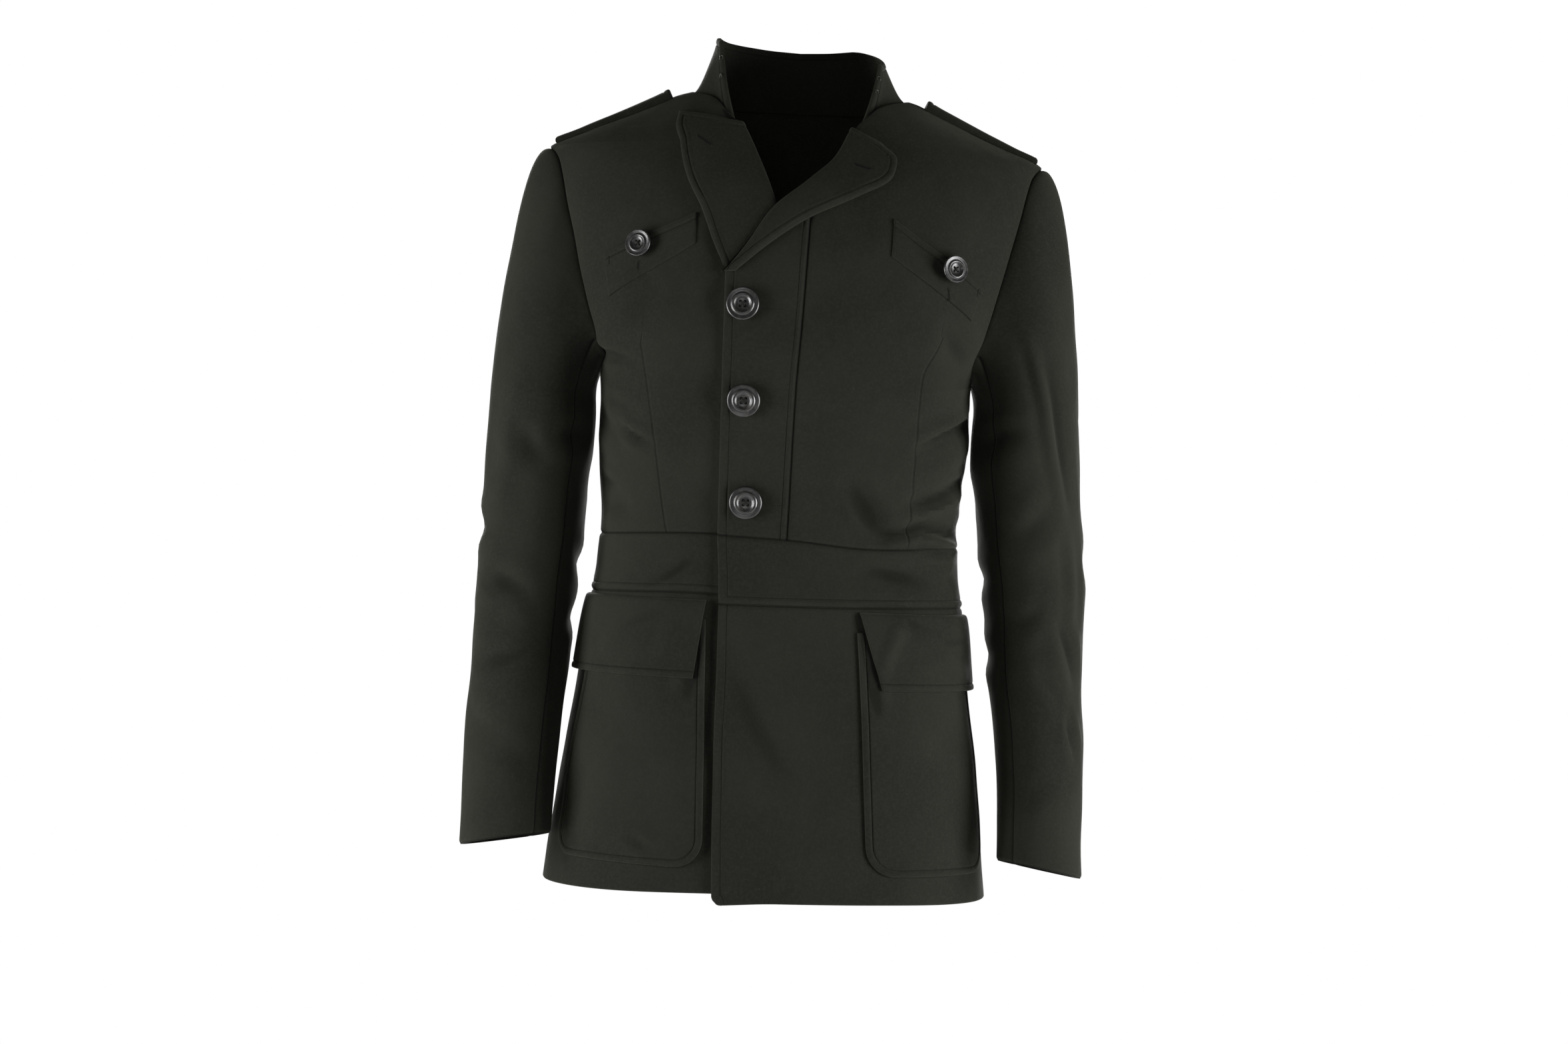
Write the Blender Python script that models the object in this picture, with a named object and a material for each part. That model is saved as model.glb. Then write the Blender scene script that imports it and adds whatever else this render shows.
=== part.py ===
"""A military service coat in its worn, hollow form: wool panels with 2 mm walls, sewn edge to edge.

The body, the waistband and the skirt lie on one torso surface, set by level sections. Each panel is a
patch between four seams or edges drawn on that surface, and pockets, flaps and lapels are patches moved
out from it. The sleeves run from the armhole through arm sections to the cuff.

Frame: +Z up, front towards -Y, the wearer's left towards +X. The origin is the middle of the neck
opening, level with the two neck points. Tables and functions are in millimetres; the meshes are made in
metres.
"""

from collections import namedtuple
from math import atan2, cos, degrees, exp, hypot, pi, radians, sin

import bmesh
import bpy
from mathutils import Vector

MM = 0.001
WALL = 2.0  # cloth of one panel
GAP = 0.3  # between two pieces at a seam, and between a panel and what lies on it
HALF = GAP / 2
LAP_DROP = WALL + 0.9  # how far the covered right front lies below the left front
LAP_FADE = 22.0  # width over which the right front comes up beside the left front's edge
DEEP_WALL = 3.0  # collar and lapel, which hold a second layer of cloth

# Horizontal sections of the torso: outer face of the cloth
Section = namedtuple("Section", "z half_width front back square")
TORSO = [
    Section(z=6, half_width=74, front=44, back=52, square=2.0),
    Section(z=0, half_width=90, front=50, back=60, square=2.0),
    Section(z=-4, half_width=107, front=54, back=65, square=2.0),
    Section(z=-14, half_width=128, front=61, back=73, square=2.05),
    Section(z=-30, half_width=163, front=72, back=85, square=2.1),
    Section(z=-44, half_width=195, front=80, back=93, square=2.1),
    Section(z=-58, half_width=224, front=87, back=100, square=2.15),
    Section(z=-97, half_width=221, front=105, back=112, square=2.2),
    Section(z=-142, half_width=211, front=119, back=119, square=2.25),
    Section(z=-178, half_width=202, front=126, back=121, square=2.3),
    Section(z=-205, half_width=194, front=129, back=120, square=2.35),
    Section(z=-232, half_width=180, front=131, back=118, square=2.4),
    Section(z=-256, half_width=168, front=130, back=115, square=2.5),
    Section(z=-322, half_width=165, front=121, back=103, square=2.45),
    Section(z=-385, half_width=161, front=113, back=96, square=2.4),
    Section(z=-430, half_width=163, front=114, back=98, square=2.4),
    Section(z=-460, half_width=168, front=118, back=103, square=2.35),
    Section(z=-530, half_width=176, front=126, back=117, square=2.3),
    Section(z=-585, half_width=184, front=134, back=128, square=2.3),
    Section(z=-640, half_width=191, front=141, back=137, square=2.25),
    Section(z=-715, half_width=200, front=148, back=145, square=2.2),
    Section(z=-730, half_width=201, front=149, back=146, square=2.2),
]

SHOULDER_SOFTNESS = 26.0  # height over which the shoulder's corner is rounded, in front and behind

# Left armhole, once round: turn 0 at the shoulder point, 90 in front, 180 under the arm, 270 behind
Armhole = namedtuple("Armhole", "turn angle z")
ARMHOLE = [
    Armhole(turn=0, angle=90, z=-58),
    Armhole(turn=13, angle=86, z=-60),
    Armhole(turn=27, angle=82.2, z=-68),
    Armhole(turn=42, angle=79.2, z=-88),
    Armhole(turn=60, angle=76.3, z=-120),
    Armhole(turn=90, angle=73, z=-171),
    Armhole(turn=120, angle=70.8, z=-215),
    Armhole(turn=145, angle=72.5, z=-241),
    Armhole(turn=165, angle=81, z=-253),
    Armhole(turn=180, angle=92, z=-256),
    Armhole(turn=195, angle=101, z=-252),
    Armhole(turn=215, angle=108, z=-238),
    Armhole(turn=240, angle=109.5, z=-212),
    Armhole(turn=270, angle=107, z=-168),
    Armhole(turn=300, angle=103.5, z=-117),
    Armhole(turn=318, angle=100.5, z=-87),
    Armhole(turn=333, angle=97.5, z=-68),
    Armhole(turn=347, angle=94, z=-60),
    Armhole(turn=360, angle=90, z=-58),
]
SIDE_ANGLE = 92.0  # side seams, below the lowest point of the armholes
SIDE_X = 165  # rough x of the side seams, to read the crossing seams there
SHOULDER_POINT_Z = -58
SHOULDER_NECK_Z = -3  # neck end of the shoulder seam
SHOULDER_FRONT_SHARE = 0.58  # where the fronts end along the neckline
SHOULDER_BACK_SHARE = 0.54

# Neckline from the nape round to a front end, as an angle from centre front
Neck = namedtuple("Neck", "share angle z")
NECKLINE = [
    Neck(share=0.0, angle=180, z=-8),
    Neck(share=0.2, angle=148, z=-7.5),
    Neck(share=0.4, angle=118, z=-5),
    Neck(share=0.55, angle=92, z=-1.5),
    Neck(share=0.75, angle=62, z=-9),
    Neck(share=1.0, angle=37, z=-32),
]

# Seams that cross the front: x is across the coat
Across = namedtuple("Across", "x z")
BAND_TOP_RIGHT = [Across(x=-161, z=-404), Across(x=-63, z=-400), Across(x=45, z=-401)]
BAND_TOP_LEFT = [Across(x=-54, z=-401), Across(x=8, z=-403), Across(x=82, z=-408), Across(x=161, z=-404)]
BAND_FOOT_RIGHT = [Across(x=-167, z=-455), Across(x=-63, z=-452), Across(x=45, z=-453)]
BAND_FOOT_LEFT = [Across(x=-50, z=-461), Across(x=40, z=-460), Across(x=167, z=-457)]
HEM_RIGHT = [Across(x=-200, z=-716), Across(x=-140, z=-714), Across(x=-52, z=-710), Across(x=45, z=-708)]
HEM_LEFT = [Across(x=-44, z=-720), Across(x=13, z=-716), Across(x=100, z=-715), Across(x=200, z=-717)]
BAND_TOP_BACK = -404
BAND_FOOT_BACK = -457
HEM_BACK = -716

# Edges that run down the front
EDGE_LEFT = [Across(x=-57, z=-172), Across(x=-54, z=-400), Across(x=-50, z=-461), Across(x=-44, z=-720)]
CENTRE_SEAM = [Across(x=16, z=-92), Across(x=12, z=-210), Across(x=9, z=-270), Across(x=7, z=-403)]
EDGE_RIGHT_X = 45  # edge of the right front, under the left front
ROLL_LEFT = [
    Across(x=-57, z=-172),
    Across(x=-38, z=-148),
    Across(x=-15, z=-114),
    Across(x=16, z=-86),
    Across(x=36, z=-66),
    Across(x=50, z=-38),
]
ROLL_RIGHT = [
    Across(x=45, z=-230),
    Across(x=12, z=-178),
    Across(x=-15, z=-113),
    Across(x=-25, z=-88),
    Across(x=-37, z=-60),
    Across(x=-50, z=-34),
]
LAPEL_LEFT_EDGE = [
    Across(x=-48, z=-171),
    Across(x=-21, z=-147),
    Across(x=15, z=-121),
    Across(x=60, z=-98),
    Across(x=86, z=-80),
    Across(x=89, z=-66),
    Across(x=74, z=-50),
]
LAPEL_RIGHT_EDGE = [
    Across(x=-58, z=-168),
    Across(x=-68, z=-147),
    Across(x=-80, z=-117),
    Across(x=-95, z=-87),
    Across(x=-103, z=-58),
    Across(x=-107, z=-40),
    Across(x=-105, z=-28),
]

# Largest folds: a trough from one point to another on the torso, with a ridge on each side
Fold = namedtuple("Fold", "start_angle start_z end_angle end_z half_width depth")
FOLDS = [
    Fold(start_angle=88, start_z=-286, end_angle=49, end_z=-326, half_width=8, depth=4.5),
    Fold(start_angle=88, start_z=-337, end_angle=47, end_z=-362, half_width=8, depth=4.5),
    Fold(start_angle=92, start_z=-389, end_angle=46, end_z=-384, half_width=7, depth=4.0),
    Fold(start_angle=27, start_z=-334, end_angle=49, end_z=-406, half_width=15, depth=3.5),
    Fold(start_angle=-86, start_z=-245, end_angle=-62, end_z=-249, half_width=8, depth=2.5),
    Fold(start_angle=-84, start_z=-292, end_angle=-58, end_z=-322, half_width=10, depth=3.5),
    Fold(start_angle=-80, start_z=-366, end_angle=-60, end_z=-372, half_width=10, depth=2.5),
    Fold(start_angle=-60, start_z=-446, end_angle=-36, end_z=-417, half_width=8, depth=2.0),
    Fold(start_angle=8, start_z=-500, end_angle=22, end_z=-640, half_width=26, depth=3.0),
    Fold(start_angle=100, start_z=-330, end_angle=140, end_z=-372, half_width=12, depth=3.5),
    Fold(start_angle=-100, start_z=-336, end_angle=-138, end_z=-380, half_width=12, depth=3.5),
    Fold(start_angle=112, start_z=-392, end_angle=158, end_z=-386, half_width=9, depth=2.5),
    Fold(start_angle=-112, start_z=-396, end_angle=-160, end_z=-388, half_width=9, depth=2.5),
    Fold(start_angle=128, start_z=-500, end_angle=140, end_z=-716, half_width=24, depth=5.0),
    Fold(start_angle=-126, start_z=-500, end_angle=-139, end_z=-716, half_width=24, depth=5.0),
]
FOLD_RADIUS = 150.0  # turns an angle into a distance along the cloth
FOLD_RIDGE = 0.5  # height of the ridges beside a trough, as a share of its depth
FOLD_REACH = 5  # half widths beyond which a fold no longer shows

# Arm sections for each side, as x of the edge near the body and of the far edge
Arm = namedtuple("Arm", "z right_near right_far left_near left_far y half_depth pitch")
ARMS = [
    Arm(z=-284, right_near=173, right_far=267, left_near=172, left_far=266, y=0, half_depth=71, pitch=0),
    Arm(z=-325, right_near=173, right_far=269, left_near=172, left_far=270, y=2, half_depth=69, pitch=1),
    Arm(z=-370, right_near=176, right_far=270, left_near=178, left_far=273, y=3, half_depth=67, pitch=3),
    Arm(z=-410, right_near=178, right_far=271, left_near=182, left_far=277, y=0, half_depth=65, pitch=6),
    Arm(z=-460, right_near=182, right_far=272, left_near=189, left_far=279, y=-8, half_depth=62, pitch=9),
    Arm(z=-520, right_near=184, right_far=272, left_near=194, left_far=278, y=-20, half_depth=59, pitch=12),
    Arm(z=-580, right_near=188, right_far=273, left_near=202, left_far=281, y=-34, half_depth=56, pitch=13),
    Arm(z=-640, right_near=190, right_far=272, left_near=206, left_far=281, y=-50, half_depth=52, pitch=10),
    Arm(z=-690, right_near=191, right_far=271, left_near=206, left_far=282, y=-63, half_depth=49, pitch=6),
]
CUFF_Z = {-1: -679, 1: -685}
CUFF_ROLL = 0.17  # how much the outer side of a cuff drops below its inner side, as a slope
CUFF_ROLL_FROM = -600
CUFF_ROLL_OVER = 80
ARMHOLE_MIDDLE_Z = -157
CAP_FULLNESS = 0.22  # how far the sleeve head swells away from the armhole, as a slope
CAP_START_PULL = 0.30  # how far the sleeve head runs outward before it turns down, as a share
CAP_END_PULL = 0.72
SEAM_FRONT = 135  # turn of the front sleeve seam
SEAM_BACK = 240  # turn of the back sleeve seam

# Rows and columns of the nets
ARMHOLE_STEPS = 24  # bodice and sleeve take the armhole in the same steps, so their gap stays even
SIDE_ROWS = 6
SHOULDER_ROWS = 5
NECK_ROWS = 4
BODICE_ROWS = SIDE_ROWS + ARMHOLE_STEPS // 2 + SHOULDER_ROWS
ROLL_ROWS_LEFT = 4
ROLL_ROWS_RIGHT = 10
OVERLAP_ROWS = 12
OVERLAP_COLUMNS = 5
FRONT_LEFT_COLUMNS = 14
FRONT_COLUMNS = 15
BACK_COLUMNS = 20
SKIRT_BACK_COLUMNS = 18
BAND_ROWS = 3
SKIRT_ROWS = 12
LAPEL_ROWS = 14
LAPEL_COLUMNS = 5
POCKET_ROWS = 10
POCKET_COLUMNS = 8
FLAP_ROWS = 4
CHEST_FLAP_ROWS = 3
CHEST_FLAP_COLUMNS = 9
STRAP_ROWS = 8
STRAP_COLUMNS = 4
COLLAR_ROWS = 3
COLLAR_COLUMNS = 28
CAP_RINGS = 7
ARM_RINGS = 11

# Collar: its upper edge, against the neckline below it
CollarTop = namedtuple("CollarTop", "share x y right_z left_z")
COLLAR_TOP = [
    CollarTop(share=0.0, x=0, y=67, right_z=48, left_z=48),
    CollarTop(share=0.12, x=24, y=65.5, right_z=49, left_z=49),
    CollarTop(share=0.27, x=48, y=54, right_z=50, left_z=50),
    CollarTop(share=0.5, x=70, y=18, right_z=49, left_z=41),
    CollarTop(share=0.75, x=76, y=-14, right_z=47, left_z=31),
    CollarTop(share=1.0, x=73, y=-34, right_z=42, left_z=26),
]

COLLAR_FLARE = 0.62  # below 1 the collar spreads near its foot and stands straighter above

# Chest flaps: corners in order round each flap, from the inner low one
CHEST_FLAP_RIGHT = [
    Across(x=-84, z=-148),
    Across(x=-158, z=-196),
    Across(x=-165, z=-158),
    Across(x=-84, z=-120),
]
CHEST_FLAP_LEFT = [
    Across(x=87, z=-152),
    Across(x=160, z=-203),
    Across(x=170, z=-174),
    Across(x=88, z=-118),
]

# Patch pockets and their flaps: the outer edge is near the side seam
Pocket = namedtuple("Pocket", "name foot_z top_z inner_foot_x inner_top_x outer_angle")
POCKETS = [
    Pocket("pocket_right", foot_z=-689, top_z=-475, inner_foot_x=-53, inner_top_x=-60, outer_angle=72),
    Pocket("pocket_left", foot_z=-691, top_z=-481, inner_foot_x=89, inner_top_x=72, outer_angle=79),
]
POCKET_CORNER = 26.0
CORNER_ROWS = 3
POCKET_LIFT = 0.8
POCKET_BILLOW = 1.5
PocketFlap = namedtuple("PocketFlap", "name top_x top_z foot_x foot_z outer_angle")
POCKET_FLAPS = [
    PocketFlap("pocket_flap_right", top_x=-60, top_z=-458, foot_x=-68, foot_z=-527, outer_angle=83),
    PocketFlap("pocket_flap_left", top_x=73, top_z=-463, foot_x=94, foot_z=-531, outer_angle=83),
]
FLAP_CLEARANCE = 2.0  # between a pocket and the lower edge of its flap
FLAP_BEND = 6  # power of the curve along which a flap comes out from its top seam
LAPEL_LIFT = 0.5
LAPEL_BILLOW = 2.0

# Shoulder straps
STRAP_OUTER_X = 216
STRAP_INNER_X = 114
STRAP_HALF_WIDTH = 22
STRAP_WALL = 4.0
STRAP_LIFT_OUTER = 1.0
STRAP_LIFT_INNER = 4.0
STRAP_LOWEST_Z = -75.0
STRAP_HIGHEST_Z = 5.0

# Buttons
Button = namedtuple("Button", "name x z radius")
BUTTONS = [
    Button(name="button_front_1", x=-40, z=-200, radius=14.7),
    Button(name="button_front_2", x=-35.5, z=-283, radius=14.7),
    Button(name="button_front_3", x=-30, z=-371.5, radius=14.7),
    Button(name="button_chest_right", x=-132, z=-150, radius=12.2),
    Button(name="button_chest_left", x=141, z=-160, radius=12.2),
]
BUTTON_LIFT = 1.5
CHEST_BUTTON_LIFT = 5.2  # over the flap

# Button from the middle of its back to the middle of its face, as shares of its radius
Lathe = namedtuple("Lathe", "radius height")
BUTTON_PROFILE = [
    Lathe(radius=0.0, height=0.0),
    Lathe(radius=0.80, height=0.0),
    Lathe(radius=0.97, height=0.10),
    Lathe(radius=1.0, height=0.19),
    Lathe(radius=0.93, height=0.27),
    Lathe(radius=0.70, height=0.24),
    Lathe(radius=0.60, height=0.30),
    Lathe(radius=0.50, height=0.29),
    Lathe(radius=0.40, height=0.20),
    Lathe(radius=0.0, height=0.17),
]
BUTTON_SIDES = 16
HOLES = 4
HOLE_RADIUS = 0.085
HOLE_RING = 0.19
HOLES_START = pi / 4
HOLE_SIDES = 6
HOLE_FROM = -0.2
HOLE_TO = 0.6


class Curve:
    """A smooth line through pairs of (place, value) that doesn't overshoot them."""

    def __init__(self, pairs):
        pairs = sorted(pairs)
        self.at = [pair[0] for pair in pairs]
        self.value = [pair[1] for pair in pairs]
        steps = [b - a for a, b in zip(self.at, self.at[1:])]
        rises = [(b - a) / step for a, b, step in zip(self.value, self.value[1:], steps)]
        self.slope = [rises[0]]
        for before, after in zip(rises, rises[1:]):
            level = before * after <= 0
            self.slope.append(0.0 if level else 2 * before * after / (before + after))
        self.slope.append(rises[-1])

    def __call__(self, place):
        if place <= self.at[0]:
            return self.value[0] + self.slope[0] * (place - self.at[0])
        if place >= self.at[-1]:
            return self.value[-1] + self.slope[-1] * (place - self.at[-1])
        i = sum(1 for at in self.at[1:-1] if at <= place)
        step = self.at[i + 1] - self.at[i]
        t = (place - self.at[i]) / step
        start = (1 + 2 * t) * (1 - t) ** 2 * self.value[i] + t * (1 - t) ** 2 * step * self.slope[i]
        end = t * t * (3 - 2 * t) * self.value[i + 1] - t * t * (1 - t) * step * self.slope[i + 1]
        return start + end


def columns(table, key):
    """One Curve for each column of a table, against its key column."""
    names = [name for name in table[0]._fields if name != key]
    return {name: Curve([(getattr(row, key), getattr(row, name)) for row in table]) for name in names}


torso = columns(TORSO, "z")
armhole = columns(ARMHOLE, "turn")
neckline = columns(NECKLINE, "share")
arms = columns(ARMS, "z")
collar_top = columns(COLLAR_TOP, "share")


def ease(share):
    """0 to 1 with a level start and end."""
    share = min(1.0, max(0.0, share))
    return share * share * (3 - 2 * share)


def blend(a, b, share):
    return a + (b - a) * share


# ---- the torso surface ----


def fold_depth(angle, z):
    """How far the folds push the cloth out or in at this place."""
    moved = 0.0
    for fold in FOLDS:
        along_x = radians(fold.end_angle - fold.start_angle) * FOLD_RADIUS
        along_z = fold.end_z - fold.start_z
        length = hypot(along_x, along_z)
        turned = (angle - radians(fold.start_angle) + pi) % (2 * pi) - pi
        from_x = turned * FOLD_RADIUS
        from_z = z - fold.start_z
        share = (from_x * along_x + from_z * along_z) / length**2
        aside = abs(from_x * along_z - from_z * along_x) / length / fold.half_width
        if not 0 < share < 1 or aside > FOLD_REACH:
            continue
        across = exp(-(aside**2)) - FOLD_RIDGE * exp(-((aside - 2) ** 2))
        moved -= fold.depth * sin(pi * share) * across
    return moved


def torso_point(angle, z):
    soft = SHOULDER_SOFTNESS * abs(cos(angle))
    heights = [min(TORSO[0].z, z + soft * share) for share in (-1, -0.5, 0, 0.5, 1)]
    width = sum(torso["half_width"](height) for height in heights) / len(heights)
    depth = torso["front" if cos(angle) > 0 else "back"](z)
    square = torso["square"](z)
    across = abs(sin(angle) / width) ** square
    along = abs(cos(angle) / depth) ** square
    reach = (across + along) ** (-1 / square) + fold_depth(angle, z)
    return Vector((reach * sin(angle), -reach * cos(angle), z))


def torso_normal(angle, z):
    turn, rise = 0.01, 1.0
    round_it = torso_point(angle + turn, z) - torso_point(angle - turn, z)
    up_it = torso_point(angle, z + rise) - torso_point(angle, z - rise)
    return round_it.cross(up_it).normalized()


def on_torso(place, offset):
    angle, z = place
    return torso_point(angle, z) + torso_normal(angle, z) * offset


def at_x(x, z):
    """The place on the front of the torso with this x and height."""
    width = torso["half_width"](z)
    square = torso["square"](z)
    share = min(0.999, abs(x) / width)
    y = torso["front"](z) * (1 - share**square) ** (1 / square)
    return atan2(x, y), z


def level_of(line, x):
    return Curve([(point.x, point.z) for point in line])(x)


def lap(place):
    """Offset of the right front: it dips where the left front covers it."""
    angle, z = place
    x = torso_point(angle, z).x
    edge = Curve([(point.z, point.x) for point in EDGE_LEFT])(z)
    return -LAP_DROP * ease((x - edge + LAP_FADE) / LAP_FADE)


def flat(_place):
    return 0.0


# ---- lines on the torso ----


def spread(function, count, skip_first=False):
    """function(0..1) at count + 1 even shares."""
    first = 1 if skip_first else 0
    return [function(i / count) for i in range(first, count + 1)]


def between(start, end, count):
    """Places from start to end in even steps."""
    return spread(lambda s: (blend(start[0], end[0], s), blend(start[1], end[1], s)), count)


def line_places(line):
    """A function of 0..1 along a table of x and z, by length."""
    lengths = [0.0]
    for a, b in zip(line, line[1:]):
        lengths.append(lengths[-1] + hypot(b.x - a.x, b.z - a.z))
    to_x = Curve([(length, point.x) for length, point in zip(lengths, line)])
    to_z = Curve([(length, point.z) for length, point in zip(lengths, line)])
    return lambda share: at_x(to_x(share * lengths[-1]), to_z(share * lengths[-1]))


def cross_seam(line, from_place, to_place):
    """A function of 0..1 between two places, at the height that a crossing seam has there."""

    def place(share):
        angle = blend(from_place[0], to_place[0], share)
        z = blend(from_place[1], to_place[1], share)
        x = torso_point(angle, z).x
        return angle, level_of(line, x)

    return place


def shift(place, across, up):
    """The place this many millimetres across (towards larger angles) and up."""
    angle, z = place
    reach = torso_point(angle, z).xy.length
    return angle + across / reach, z + up


def armhole_place(side, turn, away=0.0):
    """A place on the armhole, moved this far from its middle along the cloth."""
    turn %= 360
    back, on = (turn - 1) % 360, (turn + 1) % 360
    before = radians(armhole["angle"](back)), armhole["z"](back)
    after = radians(armhole["angle"](on)), armhole["z"](on)
    reach = torso["half_width"](before[1])
    run = Vector(((after[0] - before[0]) * reach, after[1] - before[1])).normalized()
    angle = radians(armhole["angle"](turn)) + run.y * away / reach
    return side * angle, armhole["z"](turn) - run.x * away


def neck_place(side, share):
    return side * radians(neckline["angle"](share)), neckline["z"](share)


def coons(bottom, top, left, right):
    """A net of places between four edges that meet at the corners, in rows from bottom to top."""
    rows, across = len(left) - 1, len(bottom) - 1
    net = []
    for i, (start, end) in enumerate(zip(left, right)):
        v = i / rows
        row = []
        for j, (low, high) in enumerate(zip(bottom, top)):
            u = j / across
            row.append(
                tuple(
                    (1 - v) * low[k]
                    + v * high[k]
                    + (1 - u) * start[k]
                    + u * end[k]
                    - (1 - u) * (1 - v) * bottom[0][k]
                    - u * (1 - v) * bottom[-1][k]
                    - (1 - u) * v * top[0][k]
                    - u * v * top[-1][k]
                    for k in (0, 1)
                )
            )
        net.append(row)
    return net


# ---- making the solids ----


def material(name, colour, roughness, metallic=0.0):
    made = bpy.data.materials.new(name)
    made.use_nodes = True
    shader = made.node_tree.nodes["Principled BSDF"]
    shader.inputs["Base Color"].default_value = (*colour, 1)
    shader.inputs["Roughness"].default_value = roughness
    shader.inputs["Metallic"].default_value = metallic
    made.diffuse_color = (*colour, 1)
    return made


def add_object(name, points, faces, cloth):
    mesh = bpy.data.meshes.new(name)
    mesh.from_pydata([point * MM for point in points], [], faces)
    work = bmesh.new()
    work.from_mesh(mesh)
    bmesh.ops.triangulate(work, faces=work.faces[:], quad_method="SHORT_EDGE")
    bmesh.ops.recalc_face_normals(work, faces=work.faces[:])
    work.to_mesh(mesh)
    work.free()
    obj = bpy.data.objects.new(name, mesh)
    bpy.context.scene.collection.objects.link(obj)
    mesh.materials.append(cloth)
    return obj


def wall(name, inner, outer, cloth):
    """A closed wall between two nets of points of the same size."""
    rows, across = len(inner), len(inner[0])
    points = [point for net in (inner, outer) for row in net for point in row]
    layer = rows * across

    def at(i, j, side):
        return side * layer + i * across + j

    faces = []
    for side in (0, 1):
        for i in range(rows - 1):
            for j in range(across - 1):
                corners = (i, j), (i, j + 1), (i + 1, j + 1), (i + 1, j)
                faces.append([at(*corner, side) for corner in corners])
    rim = [(0, j) for j in range(across)]
    rim += [(i, across - 1) for i in range(1, rows)]
    rim += [(rows - 1, j) for j in range(across - 2, -1, -1)]
    rim += [(i, 0) for i in range(rows - 2, 0, -1)]
    for a, b in zip(rim, rim[1:] + rim[:1]):
        faces.append([at(*a, 0), at(*b, 0), at(*b, 1), at(*a, 1)])
    return add_object(name, points, faces, cloth)


def panel(name, net, cloth, offset=flat, inner=-WALL, outer=0.0):
    """A wall on the torso surface: each place moved out by its own offset, then to its two faces."""
    low = [[on_torso(place, offset(place) + inner) for place in row] for row in net]
    high = [[on_torso(place, offset(place) + outer) for place in row] for row in net]
    return wall(name, low, high, cloth)


def trimmed(net, left=0.0, right=0.0, foot=0.0, top=0.0):
    """The net with its edges drawn in, for the gaps at seams."""
    done = [list(row) for row in net]
    for row in done:
        row[0] = shift(row[0], left, 0)
        row[-1] = shift(row[-1], -right, 0)
    done[0] = [shift(place, 0, foot) for place in done[0]]
    done[-1] = [shift(place, 0, -top) for place in done[-1]]
    return done


def side_places(side, waist, first_turn, last_turn, shoulder_rows):
    """Side seam, armhole and shoulder seam of a bodice panel, from the waist up."""
    angle = side * radians(SIDE_ANGLE)
    over_arm = side * radians(90)
    seam = spread(lambda s: (angle, blend(waist, armhole["z"](180), s)), SIDE_ROWS)
    arm = spread(
        lambda s: armhole_place(side, blend(first_turn, last_turn, s), HALF),
        ARMHOLE_STEPS // 2,
        True,
    )
    shoulder = spread(
        lambda s: (over_arm, blend(SHOULDER_POINT_Z, SHOULDER_NECK_Z, s)), shoulder_rows, True
    )
    return seam + arm + shoulder


def neck_front(side):
    """The neckline of a front, from its front end to the shoulder seam."""
    return spread(lambda s: neck_place(side, blend(1.0, SHOULDER_FRONT_SHARE, s)), NECK_ROWS, True)


def make_front_left(cloth):
    side = side_places(1, level_of(BAND_TOP_LEFT, SIDE_X), 180, 0, SHOULDER_ROWS)
    roll_top = [point for point in ROLL_LEFT if point.x >= CENTRE_SEAM[0].x]
    edge = spread(line_places(CENTRE_SEAM[::-1]), BODICE_ROWS - ROLL_ROWS_LEFT - NECK_ROWS)
    edge += spread(line_places(roll_top), ROLL_ROWS_LEFT, True) + neck_front(1)
    foot = spread(cross_seam(BAND_TOP_LEFT, edge[0], side[0]), FRONT_LEFT_COLUMNS)
    foot[0], foot[-1] = edge[0], side[0]
    net = coons(foot, between(edge[-1], side[-1], FRONT_LEFT_COLUMNS), edge, side)
    panel("front_left", trimmed(net, HALF, HALF, HALF, HALF), cloth)


def make_overlap_left(cloth):
    roll_foot = [point for point in ROLL_LEFT if point.x <= CENTRE_SEAM[0].x]
    edge = spread(line_places([EDGE_LEFT[1], EDGE_LEFT[0]]), OVERLAP_ROWS)
    seam = spread(line_places(CENTRE_SEAM[::-1]), OVERLAP_ROWS)
    foot = spread(cross_seam(BAND_TOP_LEFT, edge[0], seam[0]), OVERLAP_COLUMNS)
    roll = spread(line_places(roll_foot), OVERLAP_COLUMNS)
    foot[0], foot[-1] = edge[0], seam[0]
    roll[0], roll[-1] = edge[-1], seam[-1]
    panel("overlap_left", trimmed(coons(foot, roll, edge, seam), 0, HALF, HALF, 0), cloth)


def make_front_right(cloth):
    side = side_places(-1, level_of(BAND_TOP_RIGHT, -SIDE_X), 180, 0, SHOULDER_ROWS)
    waist = level_of(BAND_TOP_RIGHT, EDGE_RIGHT_X)
    edge = spread(
        lambda s: at_x(EDGE_RIGHT_X, blend(waist, ROLL_RIGHT[0].z, s)),
        BODICE_ROWS - ROLL_ROWS_RIGHT - NECK_ROWS,
    )
    edge += spread(line_places(ROLL_RIGHT), ROLL_ROWS_RIGHT, True) + neck_front(-1)
    foot = spread(cross_seam(BAND_TOP_RIGHT, side[0], edge[0]), FRONT_COLUMNS)
    foot[0], foot[-1] = side[0], edge[0]
    net = coons(foot, between(side[-1], edge[-1], FRONT_COLUMNS), side, edge)
    panel("front_right", trimmed(net, HALF, 0, HALF, HALF), cloth, lap)


def nape(share):
    """The neckline of the back, 0 at its left end and 1 at its right end."""
    along = SHOULDER_BACK_SHARE * abs(1 - 2 * share)
    angle, z = neck_place(1 if share <= 0.5 else -1, along)
    return (angle if share <= 0.5 else angle + 2 * pi), z


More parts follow.
